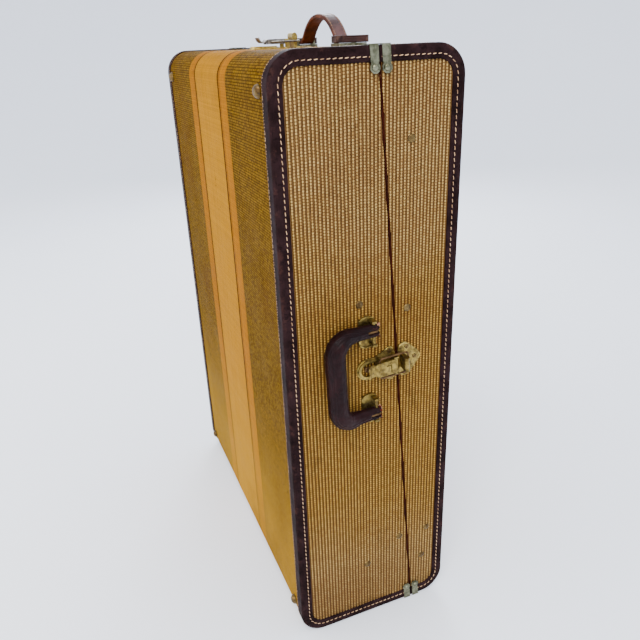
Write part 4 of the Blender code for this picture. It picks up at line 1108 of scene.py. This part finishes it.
def make_torn_ends(handle):
    """Frayed strips and fibres where the leather has burst round the rings."""
    strips, fibres = [], []
    for sign in (1, -1):
        for number in range(7):
            (strips if number % 4 else fibres).append(torn_strip(handle, sign, number))
        fibres += [torn_fibre(handle, sign, number) for number in range(16)]
    joined_piece("handle_torn_strips", strips, "red", "handle")
    joined_piece("handle_torn_fibres", fibres, "fibre", "handle")


def make_handle_stitches(handle):
    """Row of small dark stitches along the inner edge of the grip."""
    place = handle.place
    half = handle.leg - HANDLE_BEND
    angle, radius = math.radians(28), 0.0120
    outward = place.u * math.cos(angle) + place.n * math.sin(angle)
    u, n = handle.bar + radius * math.cos(angle), HANDLE_CORE_RISE + radius * math.sin(angle)
    steps = int(2 * half / 0.0042)
    levels = [-half + 2 * half * number / steps for number in range(steps + 1)]
    spots = [place.at(u, v, n) - outward * 0.0001 for v in levels]
    parts = [stitch(spot, place.v, outward, 0.0030, 0.00040) for spot in spots]
    joined_piece("handle_stitches", parts, "brown_thread", "handle")


# ---- strap on the lid's top
STRAP_TAPER = (0.81, 0.69)
STRAP_HALF_THICKNESS = 0.00225
STRAP_EDGE_STITCH = 0.0068
TAB_LAYERS = 4


def strap_reach():
    """Half the distance between the two bridges of the strap."""
    return (corners("strap_bridge_near")[0].x - corners("strap_bridge_far")[1].x) / 2


def strap_path():
    """Centre line of the arch as vectors, from the bridges' inner edges."""
    low, high = corners("top_strap")
    middle = (low + high) / 2
    span = strap_reach() + 0.0005
    base = low.z + STRAP_HALF_THICKNESS
    rise = high.z - STRAP_HALF_THICKNESS - base
    control = ((span, 0.0), (STRAP_TAPER[0] * span, 0.0), (STRAP_TAPER[1] * span, rise), (0.0, rise))
    half = []
    for i in range(25):
        t = i / 24
        weights = ((1 - t) ** 3, 3 * t * (1 - t) ** 2, 3 * t * t * (1 - t), t**3)
        half.append(tuple(sum(w * c[k] for w, c in zip(weights, control)) for k in (0, 1)))
    full = [(-x, z) for x, z in half] + half[-2::-1]
    return [Vector((middle.x + x, middle.y, base + z)) for x, z in full]


def make_strap():
    """Arched strap: smooth outside, rough brown inside, layered T ends, edge stitching."""
    low, high = corners("top_strap")
    tab_from = strap_reach() + 0.0092
    middle = (low + high) / 2

    def shape(point, normal):
        lumps = noise.noise(point * 70) * 0.00025
        if abs(point.x - middle.x) < tab_from:
            edge = abs(point.y - middle.y) / 0.00875
            dent = ridge(edge, 0.80, 0.07) * 0.00018 if abs(normal.y) < 0.5 else 0.0
            return lumps - dent, 0.8 if edge > 0.9 else 0.1
        layer = (point.z - low.z) / (0.008 / TAB_LAYERS)
        groove = 0.0
        if abs(normal.z) < 0.6:
            groove = 0.0006 * ridge(layer - round(layer), 0.0, 0.16) + noise.noise(point * 300) * 0.0002
        return lumps - groove, 0.7 if abs(normal.z) < 0.6 else 0.3

    name = "strap_leather_band"
    mesh = leather_over(name, "top_strap", 0.0007, "strap", "lid", shape).data
    for look in ("strap_inside", "tab"):
        mesh.materials.append(MATERIALS[look])
    path = strap_path()
    for face in mesh.polygons:
        if abs(face.center.x - middle.x) > tab_from:
            face.material_index = 2
            continue
        nearest = min(path, key=lambda spot: (spot - face.center).length_squared)
        inward = Vector((middle.x, middle.y, low.z - 0.03)) - nearest
        if face.normal.dot(inward.normalized()) > 0.35 or abs(face.normal.y) > 0.6:
            face.material_index = 1
    parts = []
    for sign in (1, -1):
        edge = [spot + Y_AXIS * (sign * STRAP_EDGE_STITCH) for spot in path]
        for centre, along in walk(edge, 0.0046, 0.010):
            outward = along.cross(Y_AXIS) * (1 if along.cross(Y_AXIS).z > 0 else -1)
            top = centre + outward * (STRAP_HALF_THICKNESS - 0.00005)
            parts.append(stitch(top, along, outward, 0.0033, 0.00036))
    joined_piece("strap_stitches", parts, "brown_thread", "lid")


# ---- cloth inside the case
def cloth_over(name, node, step, material, body, shape):
    """Finely divided copy of a thin CAD cloth whose points are moved by shape(point, normal)."""
    mesh = NODES[node].data.copy()
    mesh.name = name
    mesh.materials.clear()
    bm = bmesh.new()
    bm.from_mesh(mesh)
    bmesh.ops.remove_doubles(bm, verts=bm.verts, dist=0.00005)
    bmesh.ops.triangulate(bm, faces=bm.faces)
    while long_edges := [edge for edge in bm.edges if edge.calc_length() > step]:
        bmesh.ops.subdivide_edges(bm, edges=long_edges, cuts=1)
        bmesh.ops.triangulate(bm, faces=[face for face in bm.faces if len(face.verts) > 3])
    bm.normal_update()
    for vertex in bm.verts:
        vertex.co += shape(vertex.co.copy(), vertex.normal.copy())
    bm.to_mesh(mesh)
    bm.free()
    piece = new_piece(name, mesh, material, body)
    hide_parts(node)


LINING_BLISTER, LINING_STEP = 0.0009, 0.012
RIPPLE, RIPPLE_WAVES, WEBBING_STEP = 0.0012, 9, 0.006
WEBBING_SLACK = 0.006
BUCKLE_AT, BUCKLE_HALF_WIDE, BUCKLE_PAST_WEBBING, BUCKLE_CORNER = 0.13, 0.0105, 0.0028, 0.0025


def make_lining(half):
    """Glued lining with soft blisters on the side that faces the cavity, fading out towards the open edge.
    """
    body, side = HALVES[half]
    low, high = corners(f"{half}_lining")
    heart = (low + high) / 2
    heart.y = high.y if side < 0 else low.y

    def shape(point, normal):
        facing = 1.0 if normal.dot((heart - point).normalized()) > 0.25 else 0.0
        share = min(1.0, abs(point.y - heart.y) / 0.02) * facing
        blister = max(0.0, noise.noise(point * 13) + 0.4 * noise.noise(point * 37))
        return normal * (LINING_BLISTER * blister * share)

    cloth_over(f"{half}_lining_cloth", f"{half}_lining", LINING_STEP, "lining", body, shape)


def make_garment_strap(level):
    """Webbing strap with a slack ripple and a wire slide buckle."""
    node = f"garment_strap_{level}"
    low, high = corners(node)
    middle = (low + high) / 2
    length = high.x - low.x

    def ripple(x):
        share = (x - low.x) / length
        return RIPPLE * math.sin(RIPPLE_WAVES * math.pi * share + middle.z) * math.sin(math.pi * share) ** 2

    def shape(point, normal):
        edge = 0.0003 * math.sin(point.x * 900) if abs(normal.z) > 0.6 else 0.0
        return Vector((0, ripple(point.x), edge * (1 if point.z > middle.z else -1)))

    cloth_over(f"garment_webbing_{level}", node, WEBBING_STEP, "webbing", "case_body", shape)
    x = middle.x + length * BUCKLE_AT
    y = high.y - WEBBING_SLACK * (1 - (2 * BUCKLE_AT) ** 2) + ripple(x)
    tall = high.z - low.z
    half_tall = tall / 2 + BUCKLE_PAST_WEBBING
    outline = []
    for a, b, start in ((1, 1, 0), (-1, 1, 90), (-1, -1, 180), (1, -1, 270)):
        centre = (x + a * (BUCKLE_HALF_WIDE - BUCKLE_CORNER), middle.z + b * (half_tall - BUCKLE_CORNER))
        outline += arc(centre, BUCKLE_CORNER, start, start + 90, 4)
    loop = [Vector((across, y + 0.0008, up)) for across, up in outline]
    bar = [Vector((x, y - 0.0016, middle.z + tall * share)) for share in (-0.56, -0.3, 0.0, 0.3, 0.56)]
    parts = [wire(loop, 0.0012, closed=True), wire(bar, 0.0011)]
    joined_piece(f"garment_buckle_{level}", parts, "brass", "case_body")


# ---- camera, light, floor
CAMERA_FROM_CASE = Vector((0.8267, -0.2923, 0.7243))
CAMERA_AZIMUTH = math.radians(68.42)
CAMERA_ELEVATION = math.radians(23.69)
CAMERA_ROLL = math.radians(-2.36)
CAMERA_LENS = 35.6
SKY_OVERHEAD, SKY_AT_HORIZON, SKY_RAMP_END = 2.6, 0.5, 0.9
LIT_POINT = Vector((0, 0, 0.4))
FLOOR_SIDES = 64


def make_camera():
    """Camera solved from the case's own edges in the photo."""
    data = bpy.data.cameras.new("camera")
    data.lens = CAMERA_LENS
    data.sensor_width = 36.0
    camera = linked("camera", data)
    flat = math.cos(CAMERA_ELEVATION)
    level = Vector((math.cos(CAMERA_AZIMUTH), math.sin(CAMERA_AZIMUTH), 0))
    back = Vector((level.y * flat, -level.x * flat, math.sin(CAMERA_ELEVATION)))
    right = level * math.cos(CAMERA_ROLL) + back.cross(level) * math.sin(CAMERA_ROLL)
    turn = Matrix((right, back.cross(right), back)).transposed().to_4x4()
    camera.matrix_world = Matrix.Translation(CENTRE + CAMERA_FROM_CASE) @ turn
    bpy.context.scene.camera = camera


def make_light(name, location, size, power, tint):
    """Soft disc that faces the middle of the case."""
    data = bpy.data.lights.new(name, "AREA")
    data.shape = "DISK"
    data.size = size
    data.energy = power
    data.color = tint
    light = linked(name, data)
    light.location = location
    light.rotation_euler = (LIT_POINT - Vector(location)).to_track_quat("-Z", "Y").to_euler()


def make_sky():
    """Soft dome of light, brightest overhead."""
    world = bpy.data.worlds.new("studio")
    world.use_nodes = True
    tree = world.node_tree
    sky = tree.nodes["Background"]
    axes = tree.nodes.new("ShaderNodeSeparateXYZ")
    tree.links.new(tree.nodes.new("ShaderNodeTexCoord").outputs["Generated"], axes.inputs[0])
    ramp = tree.nodes.new("ShaderNodeMapRange")
    ramp.interpolation_type = "SMOOTHSTEP"
    for index, value in enumerate((0.0, SKY_RAMP_END, SKY_AT_HORIZON, SKY_OVERHEAD), 1):
        ramp.inputs[index].default_value = value
    tree.links.new(axes.outputs[2], ramp.inputs[0])
    tree.links.new(ramp.outputs[0], sky.inputs[1])
    sky.inputs[0].default_value = colour((232, 238, 250))
    bpy.context.scene.world = world


def make_floor():
    """Pale floor that curves up into a wall far from the case."""
    floor = Shader("floor", roughness=0.8, Specular_IOR_Level=0.1)
    patches = floor.noise(floor.place(), 1.5, 3.0)
    floor.set("Base Color", floor.mix(patches, (244, 246, 250), (238, 241, 247)))
    profile = [(0.01, 0.0), (0.8, 0.0), (2.0, 0.0)] + arc((3.0, 3.0), 3.0, -90, -4, 22)
    rows = [ring(Z_AXIS * rise, X_AXIS, Y_AXIS, radius, FLOOR_SIDES) for radius, rise in profile]
    vertices, faces = grid(rows, around=True)
    faces.append(tuple(reversed(range(FLOOR_SIDES))))
    mesh = plain_mesh("floor", vertices, faces)
    mesh.materials.append(floor.material)
    mesh.shade_smooth()
    ground = linked("floor", mesh)
    ground.location = (0, 0, -0.0004)


def make_studio():
    make_sky()
    make_floor()
    make_light("key", (1.5, -0.9, 2.1), 1.3, 60, (1.0, 0.97, 0.92))
    make_light("fill", (-0.6, -2.2, 1.0), 1.8, 34, (1.0, 0.97, 0.93))
    make_light("rim", (-2.1, 0.9, 1.5), 1.2, 42, (0.90, 0.94, 1.0))


make_camera()
make_studio()
finish_nodes()
for case_half in HALVES:
    make_wrap(case_half)
    make_lining(case_half)
    for case_end in ENDS:
        for make in (make_panel, make_binding, make_panel_stitches, make_face_stitches, make_rivets):
            make(case_half, case_end)
    for hinge_level in LEVELS:
        make_hinge_screws(case_half, hinge_level)
for latch_name, latch_outward in LATCHES.items():
    make_latch_screws(latch_name, latch_outward)
    make_latch_rims(latch_name, latch_outward)
make_handle()
make_strap()
for strap_level in LEVELS:
    make_garment_strap(strap_level)
